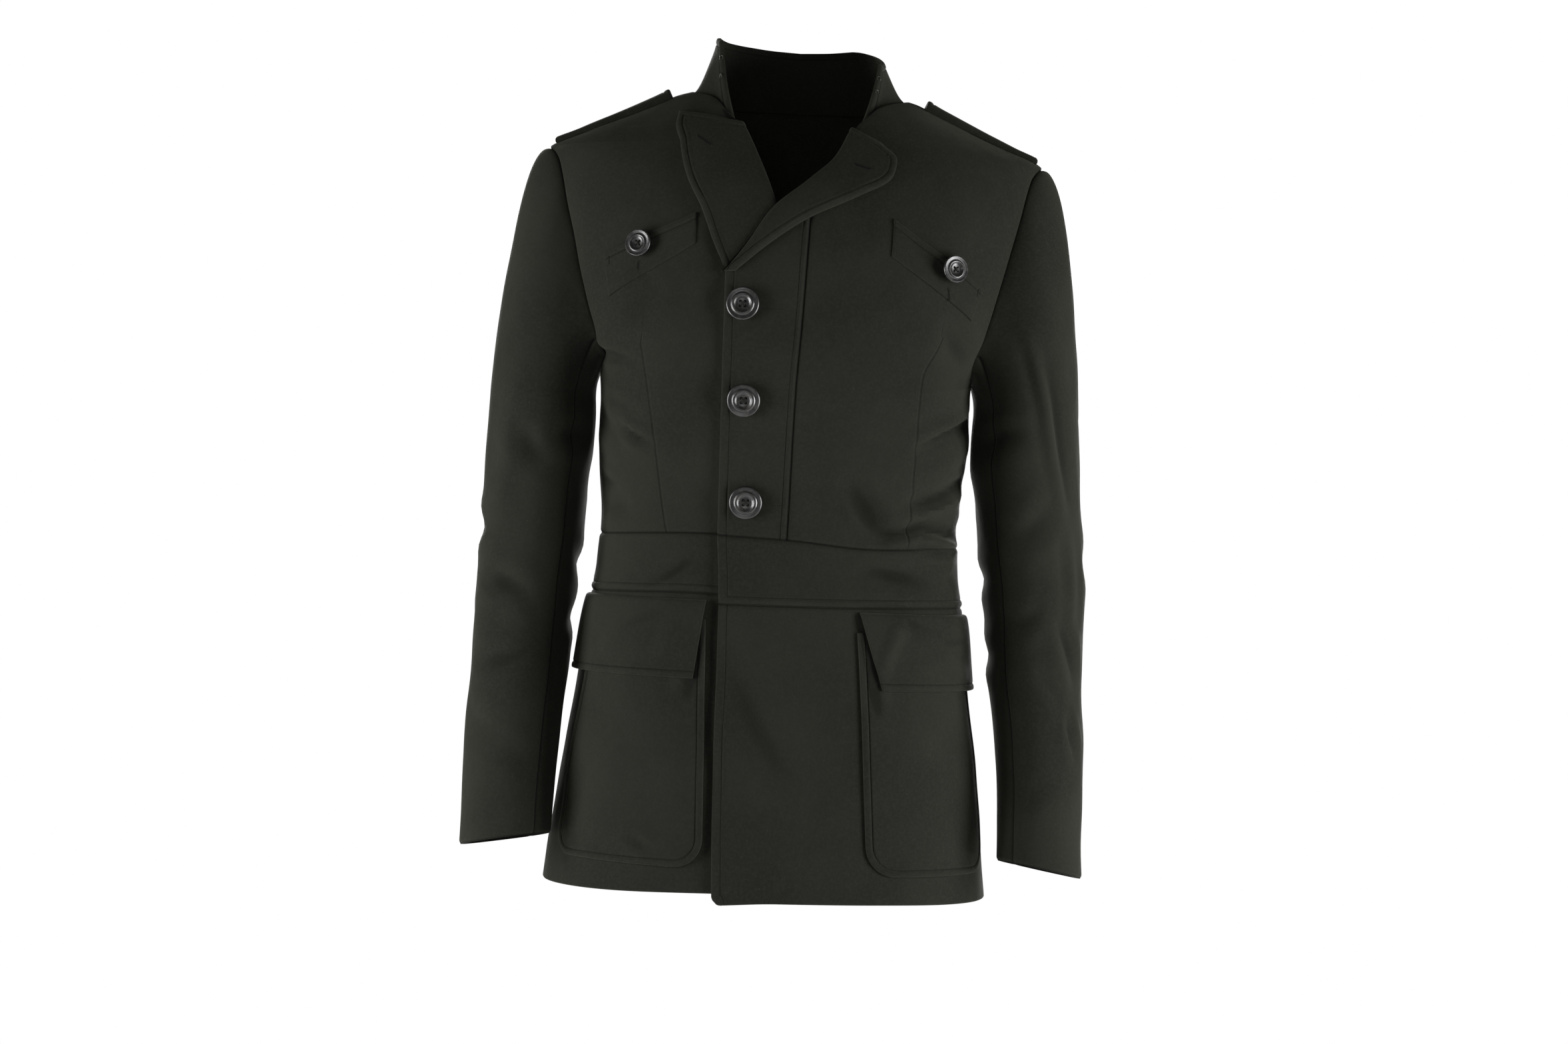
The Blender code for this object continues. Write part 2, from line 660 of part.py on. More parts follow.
def make_back(cloth):
    left = side_places(1, BAND_TOP_BACK, 180, 360, SHOULDER_ROWS - 1)
    right = side_places(-1, BAND_TOP_BACK, 180, 360, SHOULDER_ROWS - 1)
    right = [(angle + 2 * pi, z) for angle, z in right]
    foot = between(left[0], right[0], BACK_COLUMNS)
    top = spread(nape, BACK_COLUMNS)
    top[0], top[-1] = left[-1], right[-1]
    panel("back", trimmed(coons(foot, top, left, right), HALF, HALF, HALF, HALF), cloth)


def front_net(foot, head, rows):
    """A panel between two crossing seams of the front, each a line and its two ends."""
    low = spread(cross_seam(foot[0], *foot[1]), FRONT_COLUMNS)
    high = spread(cross_seam(head[0], *head[1]), FRONT_COLUMNS)
    return coons(low, high, between(low[0], high[0], rows), between(low[-1], high[-1], rows))


def back_net(foot_z, head_z, rows):
    start, end = radians(SIDE_ANGLE), 2 * pi - radians(SIDE_ANGLE)
    corners = [(start, foot_z), (end, foot_z), (end, head_z), (start, head_z)]
    return four_sided(corners, rows, SKIRT_BACK_COLUMNS)


def right_ends(line):
    side_z = level_of(line, -SIDE_X)
    return (-radians(SIDE_ANGLE), side_z), at_x(EDGE_RIGHT_X, level_of(line, EDGE_RIGHT_X))


def left_ends(line):
    edge_z = line[0].z
    edge_x = Curve([(point.z, point.x) for point in EDGE_LEFT])(edge_z)
    return at_x(edge_x, edge_z), (radians(SIDE_ANGLE), level_of(line, SIDE_X))


def make_bands_and_skirts(cloth):
    right = [(line, right_ends(line)) for line in (BAND_TOP_RIGHT, BAND_FOOT_RIGHT, HEM_RIGHT)]
    left = [(line, left_ends(line)) for line in (BAND_TOP_LEFT, BAND_FOOT_LEFT, HEM_LEFT)]
    levels = (BAND_TOP_BACK, BAND_FOOT_BACK, HEM_BACK)
    for word, rows, head, foot in (("waistband_", BAND_ROWS, 0, 1), ("skirt_", SKIRT_ROWS, 1, 2)):
        hem = HALF if foot == 1 else 0
        net = front_net(right[foot], right[head], rows)
        panel(word + "right", trimmed(net, HALF, 0, hem, HALF), cloth, lap)
        net = front_net(left[foot], left[head], rows)
        panel(word + "left", trimmed(net, 0, HALF, hem, HALF), cloth)
        net = back_net(levels[foot], levels[head], rows)
        panel(word + "back", trimmed(net, HALF, HALF, hem, HALF), cloth)


# ---- pieces that lie on the panels ----


def patch(name, net, cloth, lift, thick, under=flat, billow=0.0):
    """A piece moved out from the panel below it. lift is for its first and its last row."""
    rows, across = len(net) - 1, len(net[0]) - 1
    inner, outer = [], []
    for i, row in enumerate(net):
        low, high = [], []
        for j, place in enumerate(row):
            swell = billow * sin(pi * i / rows) * sin(pi * j / across)
            base = under(place) + blend(lift[0], lift[1], (i / rows) ** FLAP_BEND) + swell
            low.append(on_torso(place, base))
            high.append(on_torso(place, base + thick))
        inner.append(low)
        outer.append(high)
    return wall(name, inner, outer, cloth)


def four_sided(corners, rows, across):
    """A net between four corners, given in order round it."""
    low_left, low_right, high_right, high_left = corners
    return coons(
        between(low_left, low_right, across),
        between(high_left, high_right, across),
        between(low_left, high_left, rows),
        between(low_right, high_right, rows),
    )


def make_lapels(cloth):
    lift = LAPEL_LIFT, LAPEL_LIFT
    roll = spread(line_places(ROLL_LEFT), LAPEL_ROWS)
    edge = spread(line_places(LAPEL_LEFT_EDGE), LAPEL_ROWS)
    net = lapel_net(roll, edge, LAPEL_COLUMNS)
    patch("lapel_left", net, cloth, lift, DEEP_WALL, flat, LAPEL_BILLOW)
    roll = [shift(place, -GAP, 0) for place in right_lapel_inner(LAPEL_ROWS)]
    edge = spread(line_places(LAPEL_RIGHT_EDGE), LAPEL_ROWS)
    net = lapel_net(edge, roll, LAPEL_COLUMNS + 1)
    patch("lapel_right", net, cloth, lift, DEEP_WALL, lap, LAPEL_BILLOW)


def lapel_net(start, end, across):
    foot, head = between(start[0], end[0], across), between(start[-1], end[-1], across)
    return coons(foot, head, start, end)


def right_lapel_inner(rows):
    """Inner edge of the right lapel: up along the left front's roll, then along its own."""
    crossing = ROLL_RIGHT[2]
    covered = [point for point in ROLL_LEFT if point.x < crossing.x] + [crossing]
    shown = [point for point in ROLL_RIGHT if point.z >= crossing.z]
    below = [shift(place, -DEEP_WALL, 0) for place in spread(line_places(covered), rows // 2)]
    return below + spread(line_places(shown), rows - rows // 2, True)


def make_chest_flaps(cloth):
    for name, outline in (("chest_flap_right", CHEST_FLAP_RIGHT), ("chest_flap_left", CHEST_FLAP_LEFT)):
        corners = [at_x(*corner) for corner in outline]
        net = four_sided(corners, CHEST_FLAP_ROWS, CHEST_FLAP_COLUMNS)
        patch(name, net, cloth, (GAP, GAP), WALL)


def pocket_net(pocket):
    """Rows from the rounded foot of a patch pocket to its mouth."""
    side = 1 if pocket.inner_foot_x > 0 else -1
    height = pocket.top_z - pocket.foot_z
    reach = torso["half_width"](pocket.foot_z)
    net = []
    for i in range(POCKET_ROWS + 1):
        turn = pi / 2 * min(1, i / CORNER_ROWS)
        rise, inset = POCKET_CORNER * (1 - cos(turn)), POCKET_CORNER * (1 - sin(turn))
        if i > CORNER_ROWS:
            rise = blend(POCKET_CORNER, height, (i - CORNER_ROWS) / (POCKET_ROWS - CORNER_ROWS))
        z = pocket.foot_z + rise
        inner_x = blend(pocket.inner_foot_x, pocket.inner_top_x, rise / height)
        inner = at_x(inner_x + side * inset, z)
        outer = side * (radians(pocket.outer_angle) - inset / reach), z
        net.append(between(inner, outer, POCKET_COLUMNS))
    return net


def make_pockets(cloth):
    for pocket in POCKETS:
        lift = POCKET_LIFT, POCKET_LIFT
        patch(pocket.name, pocket_net(pocket), cloth, lift, WALL, flat, POCKET_BILLOW)
    over_pocket = POCKET_LIFT + WALL + FLAP_CLEARANCE
    for flap in POCKET_FLAPS:
        side = 1 if flap.top_x > 0 else -1
        outer = side * radians(flap.outer_angle)
        corners = [at_x(flap.foot_x, flap.foot_z), (outer, flap.foot_z)]
        corners += [(outer, flap.top_z), at_x(flap.top_x, flap.top_z)]
        net = four_sided(corners, FLAP_ROWS, POCKET_COLUMNS)
        patch(flap.name, net, cloth, (over_pocket, 2 * GAP), WALL)


def make_straps(cloth):
    """Shoulder straps, lying over the shoulder seam from the armhole towards the collar."""
    for name, side in (("epaulette_right", -1), ("epaulette_left", 1)):
        inner, outer = [], []
        for i in range(STRAP_ROWS + 1):
            x = blend(STRAP_OUTER_X, STRAP_INNER_X, i / STRAP_ROWS)
            lift = blend(STRAP_LIFT_OUTER, STRAP_LIFT_INNER, i / STRAP_ROWS)
            low, high = [], []
            for j in range(STRAP_COLUMNS + 1):
                y = blend(-STRAP_HALF_WIDTH, STRAP_HALF_WIDTH, j / STRAP_COLUMNS)
                place = over_shoulder(side * x, y)
                low.append(on_torso(place, lift))
                high.append(on_torso(place, lift + STRAP_WALL))
            inner.append(low)
            outer.append(high)
        wall(name, inner, outer, cloth)


def over_shoulder(x, y):
    """The place on top of the shoulder with this x and y, found by halving the height range."""
    low, high = STRAP_LOWEST_Z, STRAP_HIGHEST_Z
    while high - low > GAP / 1000:
        z = (low + high) / 2
        angle = atan2(x, -y)
        if hypot(x, y) < torso_point(angle, z).xy.length:
            low = z
        else:
            high = z
    return atan2(x, -y), (low + high) / 2


# ---- sleeves ----


def arm_ring(side, z, turn):
    """A point on the arm section at this height: turn 0 faces out, 90 forward, 180 the body."""
    word = "left" if side > 0 else "right"
    near, far = arms[word + "_near"](z), arms[word + "_far"](z)
    pitch = radians(arms["pitch"](z))
    out = cos(radians(turn)) * (far - near) / 2
    forward = sin(radians(turn)) * arms["half_depth"](z)
    drop = out * CUFF_ROLL * ease((CUFF_ROLL_FROM - z) / CUFF_ROLL_OVER)
    x = side * ((near + far) / 2 + out)
    return Vector((x, arms["y"](z) - forward * cos(pitch), z + forward * sin(pitch) - drop))


def sleeve_point(side, turn, ring):
    """Rings run from the armhole, ring 0, through the sleeve head and down the arm."""
    top_z = ARMS[0].z
    if ring > CAP_RINGS:
        share = (ring - CAP_RINGS) / ARM_RINGS
        return arm_ring(side, blend(top_z, CUFF_Z[side], share), turn)
    start = on_torso(armhole_place(side, turn, -HALF), 0)
    end = arm_ring(side, top_z, turn)
    radial = (start - Vector((start.x, 0, ARMHOLE_MIDDLE_Z))).normalized()
    leave = Vector((side, 0, 0)) + radial * CAP_FULLNESS
    length = (end - start).length
    s = ring / CAP_RINGS
    out = leave.normalized() * length * CAP_START_PULL
    down = Vector((0, 0, -1)) * length * CAP_END_PULL
    return (
        start * ((1 + 2 * s) * (1 - s) ** 2)
        + out * (s * (1 - s) ** 2)
        + end * (s * s * (3 - 2 * s))
        - down * (s * s * (1 - s))
    )


def sleeve_normal(side, turn, ring):
    if ring == 0:
        return torso_normal(*armhole_place(side, turn, -HALF))
    round_it = sleeve_point(side, turn + 1, ring) - sleeve_point(side, turn - 1, ring)
    above, below = ring - 0.5, min(CAP_RINGS + ARM_RINGS, ring + 0.5)
    down_it = sleeve_point(side, turn, below) - sleeve_point(side, turn, above)
    return round_it.cross(down_it).normalized() * side


def make_sleeve(name, side, turns, across, cloth):
    low, high = [], []
    for ring in range(CAP_RINGS + ARM_RINGS + 1):
        inner, outer = [], []
        for turn in spread(lambda s: blend(turns[0], turns[1], s), across):
            point = sleeve_point(side, turn, ring)
            inner.append(point - sleeve_normal(side, turn, ring) * WALL)
            outer.append(point)
        low.append(inner)
        high.append(outer)
    wall(name, low, high, cloth)


def make_sleeves(cloth):
    step = 360 / ARMHOLE_STEPS
    half = degrees(HALF / ARMS[0].half_depth)
    for word, side in (("right", -1), ("left", 1)):
        top = SEAM_BACK - 360 + half, SEAM_FRONT - half
        under = SEAM_FRONT + half, SEAM_BACK - half
        make_sleeve("sleeve_top_" + word, side, top, round((top[1] - top[0]) / step), cloth)
        make_sleeve("sleeve_under_" + word, side, under, round((under[1] - under[0]) / step), cloth)


# ---- collar ----


def make_collar(cloth):
    """A standing collar from its right end round the nape to its left end, just above the neckline."""
    ends = []
    for along in spread(lambda s: 2 * s - 1, COLLAR_COLUMNS):
        side, share = (1 if along > 0 else -1), abs(along)
        foot = on_torso(neck_place(side, share), -WALL / 2) + Vector((0, 0, GAP + WALL))
        head_z = collar_top["left_z" if side > 0 else "right_z"](share)
        head = Vector((side * collar_top["x"](share), collar_top["y"](share), head_z))
        ends.append((foot, head))
    low = []
    for i in range(COLLAR_ROWS + 1):
        in_share, up_share = (i / COLLAR_ROWS) ** COLLAR_FLARE, i / COLLAR_ROWS
        row = [foot.lerp(head, in_share) for foot, head in ends]
        for point, (foot, head) in zip(row, ends):
            point.z = blend(foot.z, head.z, up_share)
        low.append(row)
    high = []
    for i, row in enumerate(low):
        outer = []
        for j, point in enumerate(row):
            before, after = row[max(0, j - 1)], row[min(COLLAR_COLUMNS, j + 1)]
            up = low[min(COLLAR_ROWS, i + 1)][j] - low[max(0, i - 1)][j]
            normal = up.cross(after - before).normalized()
            outer.append(point - normal * DEEP_WALL)
        high.append(outer)
    wall("collar", low, high, cloth)


# ---- buttons ----


def circle(radius, height, sides, start=0.0):
    """Points round a circle about the button's axis."""
    turns = [start + 2 * pi * i / sides for i in range(sides)]
    return [Vector((radius * cos(turn), radius * sin(turn), height)) for turn in turns]


def make_button(button, cloth):
    """A button turned from its profile, with its holes cut through."""
    place = at_x(button.x, button.z)
    seat = on_torso(place, CHEST_BUTTON_LIFT if "chest" in button.name else BUTTON_LIFT)
    turned = torso_normal(*place).to_track_quat("Z", "Y").to_matrix()

    def seated(points):
        return [seat + turned @ (point * button.radius) for point in points]

    rings = BUTTON_PROFILE[1:-1]
    points = [Vector((0, 0, BUTTON_PROFILE[0].height))]
    for ring in rings:
        points += circle(ring.radius, ring.height, BUTTON_SIDES)
    points.append(Vector((0, 0, BUTTON_PROFILE[-1].height)))
    last = len(points) - 1
    faces = []
    for i in range(BUTTON_SIDES):
        after = (i + 1) % BUTTON_SIDES
        faces.append([0, 1 + after, 1 + i])
        for ring in range(len(rings) - 1):
            low = 1 + ring * BUTTON_SIDES
            high = low + BUTTON_SIDES
            faces.append([low + i, low + after, high + after, high + i])
        faces.append([last - BUTTON_SIDES + i, last - BUTTON_SIDES + after, last])
    body = add_object(button.name, seated(points), faces, cloth)
    for centre in circle(HOLE_RING, 0, HOLES, HOLES_START):
        foot = [centre + point for point in circle(HOLE_RADIUS, HOLE_FROM, HOLE_SIDES)]
        head = [centre + point for point in circle(HOLE_RADIUS, HOLE_TO, HOLE_SIDES)]
        cut = body.modifiers.new("hole", "BOOLEAN")
        cut.operation = "DIFFERENCE"
        cut.solver = "EXACT"
        cut.object = make_cutter(seated(foot + head), cloth)


def make_cutter(points, cloth):
    """A prism between two rings of points, kept out of the render."""
    faces = [list(range(HOLE_SIDES))[::-1], list(range(HOLE_SIDES, 2 * HOLE_SIDES))]
    for i in range(HOLE_SIDES):
        after = (i + 1) % HOLE_SIDES
        faces.append([i, after, HOLE_SIDES + after, HOLE_SIDES + i])
    cutter = add_object("cutter", points, faces, cloth)
    cutter.hide_render = True
    return cutter


def main():
    for obj in list(bpy.data.objects):
        bpy.data.objects.remove(obj, do_unlink=True)
    wool = material("wool", (0.021, 0.022, 0.020), 0.85)
    horn = material("horn", (0.012, 0.011, 0.010), 0.28)
    make_front_left(wool)
    make_overlap_left(wool)
    make_front_right(wool)
    make_back(wool)
    make_bands_and_skirts(wool)
    make_lapels(wool)
    make_chest_flaps(wool)
    make_pockets(wool)
    make_straps(wool)
    make_sleeves(wool)
    make_collar(wool)
    for button in BUTTONS:
        make_button(button, horn)


main()
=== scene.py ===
"""Looks for the military coat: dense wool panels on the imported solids' forms, with creases and stitching.

Lengths are in millimetres and meshes in metres, in the same frame as the solids: +Z up, front towards -Y,
the wearer's left towards +X. The tables of sections, seams and edges are those of the solids.
"""

from collections import namedtuple
from math import acos, cos, hypot, pi, radians, sin

import bmesh
import bpy
import numpy as np
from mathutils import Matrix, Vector
from mathutils.bvhtree import BVHTree


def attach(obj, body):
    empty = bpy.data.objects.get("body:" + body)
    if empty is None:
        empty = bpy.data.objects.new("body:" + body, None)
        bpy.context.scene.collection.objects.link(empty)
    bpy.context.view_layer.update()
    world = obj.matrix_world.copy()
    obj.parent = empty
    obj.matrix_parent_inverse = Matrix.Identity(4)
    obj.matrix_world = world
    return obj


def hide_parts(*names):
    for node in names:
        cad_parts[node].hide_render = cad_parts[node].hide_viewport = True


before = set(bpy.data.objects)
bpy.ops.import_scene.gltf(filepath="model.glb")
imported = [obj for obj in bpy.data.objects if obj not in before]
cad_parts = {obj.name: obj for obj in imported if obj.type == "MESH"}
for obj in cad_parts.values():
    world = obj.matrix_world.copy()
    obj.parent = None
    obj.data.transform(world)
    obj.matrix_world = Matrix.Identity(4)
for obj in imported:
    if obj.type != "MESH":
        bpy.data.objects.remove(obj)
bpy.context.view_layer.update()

MM = 0.001
WALL = 2.0  # cloth of one panel
GAP = 0.3  # between a panel and what lies on it
HALF = 0.01  # half the gap that shows at a seam
LAP_DROP = WALL + 0.9  # how far the covered right front lies below the left front
LAP_FADE = 22.0  # width over which the right front comes up beside the left front's edge
DEEP_WALL = 3.0  # collar and lapel, which hold a second layer of cloth


def table_of(kind, *values):
    """A table's rows, each with its values under the column names of its kind."""
    return [kind(*row) for row in values]


# Horizontal sections of the torso: outer face of the cloth
Section = namedtuple("Section", "z half_width front back square")
TORSO = table_of(
    Section,
    (6, 74, 44, 52, 2.0), (0, 90, 50, 60, 2.0), (-4, 107, 54, 65, 2.0), (-14, 128, 61, 73, 2.05),
    (-30, 163, 72, 85, 2.1), (-44, 195, 80, 93, 2.1), (-58, 224, 87, 100, 2.15), (-97, 221, 105, 112, 2.2),
    (-142, 211, 119, 119, 2.25), (-178, 202, 126, 121, 2.3), (-205, 194, 129, 120, 2.35),
    (-232, 180, 131, 118, 2.4), (-256, 168, 130, 115, 2.5), (-322, 165, 121, 103, 2.45),
    (-385, 161, 113, 96, 2.4), (-430, 163, 114, 98, 2.4), (-460, 168, 118, 103, 2.35),
    (-530, 176, 126, 117, 2.3), (-585, 184, 134, 128, 2.3), (-640, 191, 141, 137, 2.25),
    (-715, 200, 148, 145, 2.2), (-730, 201, 149, 146, 2.2),
)

SHOULDER_SOFTNESS = 26.0  # height over which the shoulder's corner is rounded, in front and behind

# Left armhole, once round: turn 0 at the shoulder point, 90 in front, 180 under the arm, 270 behind
Armhole = namedtuple("Armhole", "turn angle z")
ARMHOLE = table_of(
    Armhole,
    (0, 90, -58), (13, 86, -60), (27, 82.2, -68), (42, 79.2, -88), (60, 76.3, -120), (90, 73, -171),
    (120, 70.8, -215), (145, 72.5, -241), (165, 81, -253), (180, 92, -256), (195, 101, -252),
    (215, 108, -238), (240, 109.5, -212), (270, 107, -168), (300, 103.5, -117), (318, 100.5, -87),
    (333, 97.5, -68), (347, 94, -60), (360, 90, -58),
)
SIDE_ANGLE = 92.0  # side seams, below the lowest point of the armholes
SIDE_X = 165  # rough x of the side seams, to read the crossing seams there
SHOULDER_POINT_Z = -58
SHOULDER_NECK_Z = -3  # neck end of the shoulder seam
SHOULDER_FRONT_SHARE = 0.58  # where the fronts end along the neckline
SHOULDER_BACK_SHARE = 0.54

# Neckline from the nape round to a front end, as an angle from centre front
Neck = namedtuple("Neck", "share angle z")
NECKLINE = table_of(
    Neck,
    (0.0, 180, -8), (0.2, 148, -7.5), (0.4, 118, -5), (0.55, 92, -1.5), (0.75, 62, -9), (1.0, 37, -32),
)

# Seams that cross the front: x is across the coat
Across = namedtuple("Across", "x z")
BAND_TOP_RIGHT = table_of(Across, (-161, -404), (-63, -400), (45, -401))
BAND_TOP_LEFT = table_of(Across, (-54, -401), (8, -403), (82, -408), (161, -404))
BAND_FOOT_RIGHT = table_of(Across, (-167, -455), (-63, -452), (45, -453))
BAND_FOOT_LEFT = table_of(Across, (-50, -461), (40, -460), (167, -457))
HEM_RIGHT = table_of(Across, (-200, -716), (-140, -714), (-52, -710), (45, -708))
HEM_LEFT = table_of(Across, (-44, -720), (13, -716), (100, -715), (200, -717))
BAND_TOP_BACK = -404
BAND_FOOT_BACK = -457
HEM_BACK = -716

# Edges that run down the front
EDGE_LEFT = table_of(Across, (-57, -172), (-54, -400), (-50, -461), (-44, -720))
CENTRE_SEAM = table_of(Across, (16, -92), (12, -210), (9, -270), (7, -403))
EDGE_RIGHT_X = 45  # edge of the right front, under the left front
ROLL_LEFT = table_of(Across, (-57, -172), (-38, -148), (-15, -114), (16, -86), (36, -66), (50, -38))
ROLL_RIGHT = table_of(Across, (45, -230), (12, -178), (-15, -113), (-25, -88), (-37, -60), (-50, -34))
LAPEL_LEFT_EDGE = table_of(
    Across,
    (-48, -171), (-21, -147), (15, -121), (60, -98), (86, -80), (89, -66), (74, -50),
)
LAPEL_RIGHT_EDGE = table_of(
    Across,
    (-58, -168), (-68, -147), (-80, -117), (-95, -87), (-103, -58), (-107, -40), (-105, -28),
)

# A crease is a trough from one point to another, with a ridge on each side. A negative depth makes it a ridge
# between two shallow troughs, and bow curves it sideways. FOLDS are the torso's largest, as in the solids.
Crease = namedtuple("Crease", "start_angle start_z end_angle end_z half_width depth bow", defaults=[0])
FOLDS = table_of(
    Crease,
    (88, -286, 49, -326, 8, 4.5), (88, -337, 47, -362, 8, 4.5), (92, -389, 46, -384, 7, 4.0),
    (27, -334, 49, -406, 15, 3.5), (-86, -245, -62, -249, 8, 2.5), (-84, -292, -58, -322, 10, 3.5),
    (-80, -366, -60, -372, 10, 2.5), (-60, -446, -36, -417, 8, 2.0), (8, -500, 22, -640, 26, 3.0),
    (100, -330, 140, -372, 12, 3.5), (-100, -336, -138, -380, 12, 3.5), (112, -392, 158, -386, 9, 2.5),
    (-112, -396, -160, -388, 9, 2.5), (128, -500, 140, -716, 24, 5.0), (-126, -500, -139, -716, 24, 5.0),
)
FOLD_RADIUS = 150.0  # turns an angle into a distance along the cloth
FOLD_RIDGE = 0.5  # height of the ridges beside a trough, as a share of its depth
FOLD_REACH = 5  # half widths beyond which a fold no longer shows

# Arm sections for each side, as x of the edge near the body and of the far edge
Arm = namedtuple("Arm", "z right_near right_far left_near left_far y half_depth pitch")
ARMS = table_of(
    Arm,
    (-284, 173, 267, 172, 266, 0, 71, 0), (-325, 173, 269, 172, 270, 2, 69, 1),
    (-370, 176, 270, 178, 273, 3, 67, 3), (-410, 178, 271, 182, 277, 0, 65, 6),
    (-460, 182, 272, 189, 279, -8, 62, 9), (-520, 184, 272, 194, 278, -20, 59, 12),
    (-580, 188, 273, 202, 281, -34, 56, 13), (-640, 190, 272, 206, 281, -50, 52, 10),
    (-690, 191, 271, 206, 282, -63, 49, 6),
)
CUFF_Z = {-1: -679, 1: -685}
CUFF_ROLL = 0.17  # how much the outer side of a cuff drops below its inner side, as a slope
CUFF_ROLL_FROM = -600
CUFF_ROLL_OVER = 80
ARMHOLE_MIDDLE_Z = -157
CAP_FULLNESS = 0.22  # how far the sleeve head swells away from the armhole, as a slope
CAP_START_PULL = 0.30  # how far the sleeve head runs outward before it turns down, as a share
CAP_END_PULL = 0.72
SEAM_FRONT = 135  # turn of the front sleeve seam
SEAM_BACK = 240  # turn of the back sleeve seam

# Rows and columns of the nets
ARMHOLE_STEPS = 24  # bodice and sleeve take the armhole in the same steps, so their gap stays even
SIDE_ROWS = 6
SHOULDER_ROWS = 5
NECK_ROWS = 4
BODICE_ROWS = SIDE_ROWS + ARMHOLE_STEPS // 2 + SHOULDER_ROWS
ROLL_ROWS_LEFT = 4
ROLL_ROWS_RIGHT = 10
OVERLAP_ROWS = 12
OVERLAP_COLUMNS = 5
FRONT_LEFT_COLUMNS = 14
FRONT_COLUMNS = 15
BACK_COLUMNS = 20
SKIRT_BACK_COLUMNS = 18
BAND_ROWS = 3
SKIRT_ROWS = 12
LAPEL_ROWS = 14
LAPEL_COLUMNS = 5
POCKET_ROWS = 10
POCKET_COLUMNS = 8
FLAP_ROWS = 4
CHEST_FLAP_ROWS = 3
CHEST_FLAP_COLUMNS = 9
STRAP_ROWS = 8
STRAP_COLUMNS = 4
COLLAR_ROWS = 3
COLLAR_COLUMNS = 28
CAP_RINGS = 7
ARM_RINGS = 11

# Rough sizes of the nets, across and up, to place the points near their edges
FRONT_LEFT_SIZE = 190, 430
OVERLAP_SIZE = 64, 300
FRONT_RIGHT_SIZE = 230, 430
BACK_SIZE = 330, 400
BAND_HEIGHT = 54
SKIRT_HEIGHT = 260
SKIRT_WIDTHS = {"right": 240, "left": 250, "back": 420}  # and those of the waistbands above them
POCKET_SIZE = 120, 215
POCKET_FLAP_SIZE = 110, 68
CHEST_FLAP_SIZE = 90, 33
LAPEL_WIDTHS = {"lapel_left": 45, "lapel_right": 60}
LAPEL_HEIGHT = 190
STRAP_SIZE = 44, 115
SLEEVE_HEIGHT = 620
COLLAR_SIZE = 330, 50

# Collar: its upper edge, against the neckline below it
CollarTop = namedtuple("CollarTop", "share x y right_z left_z")
COLLAR_TOP = table_of(
    CollarTop,
    (0.0, 0, 67, 48, 48), (0.12, 24, 65.5, 49, 49), (0.27, 48, 54, 50, 50), (0.5, 70, 18, 49, 41),
    (0.75, 76, -14, 47, 31), (1.0, 73, -34, 42, 26),
)

COLLAR_FLARE = 0.62  # below 1 the collar spreads near its foot and stands straighter above

# Chest flaps: corners in order round each flap, from the inner low one
CHEST_FLAP_RIGHT = table_of(Across, (-84, -148), (-158, -196), (-165, -158), (-84, -120))
CHEST_FLAP_LEFT = table_of(Across, (87, -152), (160, -203), (170, -174), (88, -118))

# Patch pockets and their flaps: the outer edge is near the side seam
Pocket = namedtuple("Pocket", "name foot_z top_z inner_foot_x inner_top_x outer_angle")
POCKETS = table_of(
    Pocket,
    ("pocket_right", -689, -475, -53, -60, 72), ("pocket_left", -691, -481, 89, 72, 79),
)
POCKET_CORNER = 26.0
CORNER_ROWS = 3
POCKET_LIFT = 0.8
POCKET_BILLOW = 1.5
PocketFlap = namedtuple("PocketFlap", "name top_x top_z foot_x foot_z outer_angle")
POCKET_FLAPS = table_of(
    PocketFlap,
    ("pocket_flap_right", -60, -458, -68, -527, 83), ("pocket_flap_left", 73, -463, 94, -531, 83),
)
FLAP_CLEARANCE = 2.0  # between a pocket and the lower edge of its flap
BUMP_FLOOR = -0.4  # how far the creases of one piece may press it down
FLAP_BEND = 6  # power of the curve along which a flap comes out from its top seam
LAPEL_LIFT = 0.5
LAPEL_BILLOW = 2.0

# Shoulder straps
STRAP_OUTER_X = 216
STRAP_INNER_X = 114
STRAP_HALF_WIDTH = 22
STRAP_WALL = 4.0
STRAP_LIFT_OUTER = 1.0
STRAP_LIFT_INNER = 4.0
STRAP_LOWEST_Z = -75.0
STRAP_HIGHEST_Z = 5.0

# Buttons
Button = namedtuple("Button", "name x z radius")
BUTTONS = table_of(
    Button,
    ("button_front_1", -40, -200, 14.7), ("button_front_2", -35.5, -283, 14.7),
    ("button_front_3", -30, -371.5, 14.7), ("button_chest_right", -132, -150, 12.2),
    ("button_chest_left", 141, -160, 12.2),
)
BUTTON_LIFT = 1.5
CHEST_BUTTON_LIFT = 5.2  # over the flap

HOLES = 4
HOLE_RADIUS = 0.085
HOLE_RING = 0.19
HOLES_START = pi / 4
HOLE_FROM = -0.2
HOLE_TO = 0.6
HOLE_SIDES = 20


# ---- what the looks add to the solids ----

DENSE = 6  # cells for each row or column that the solids have

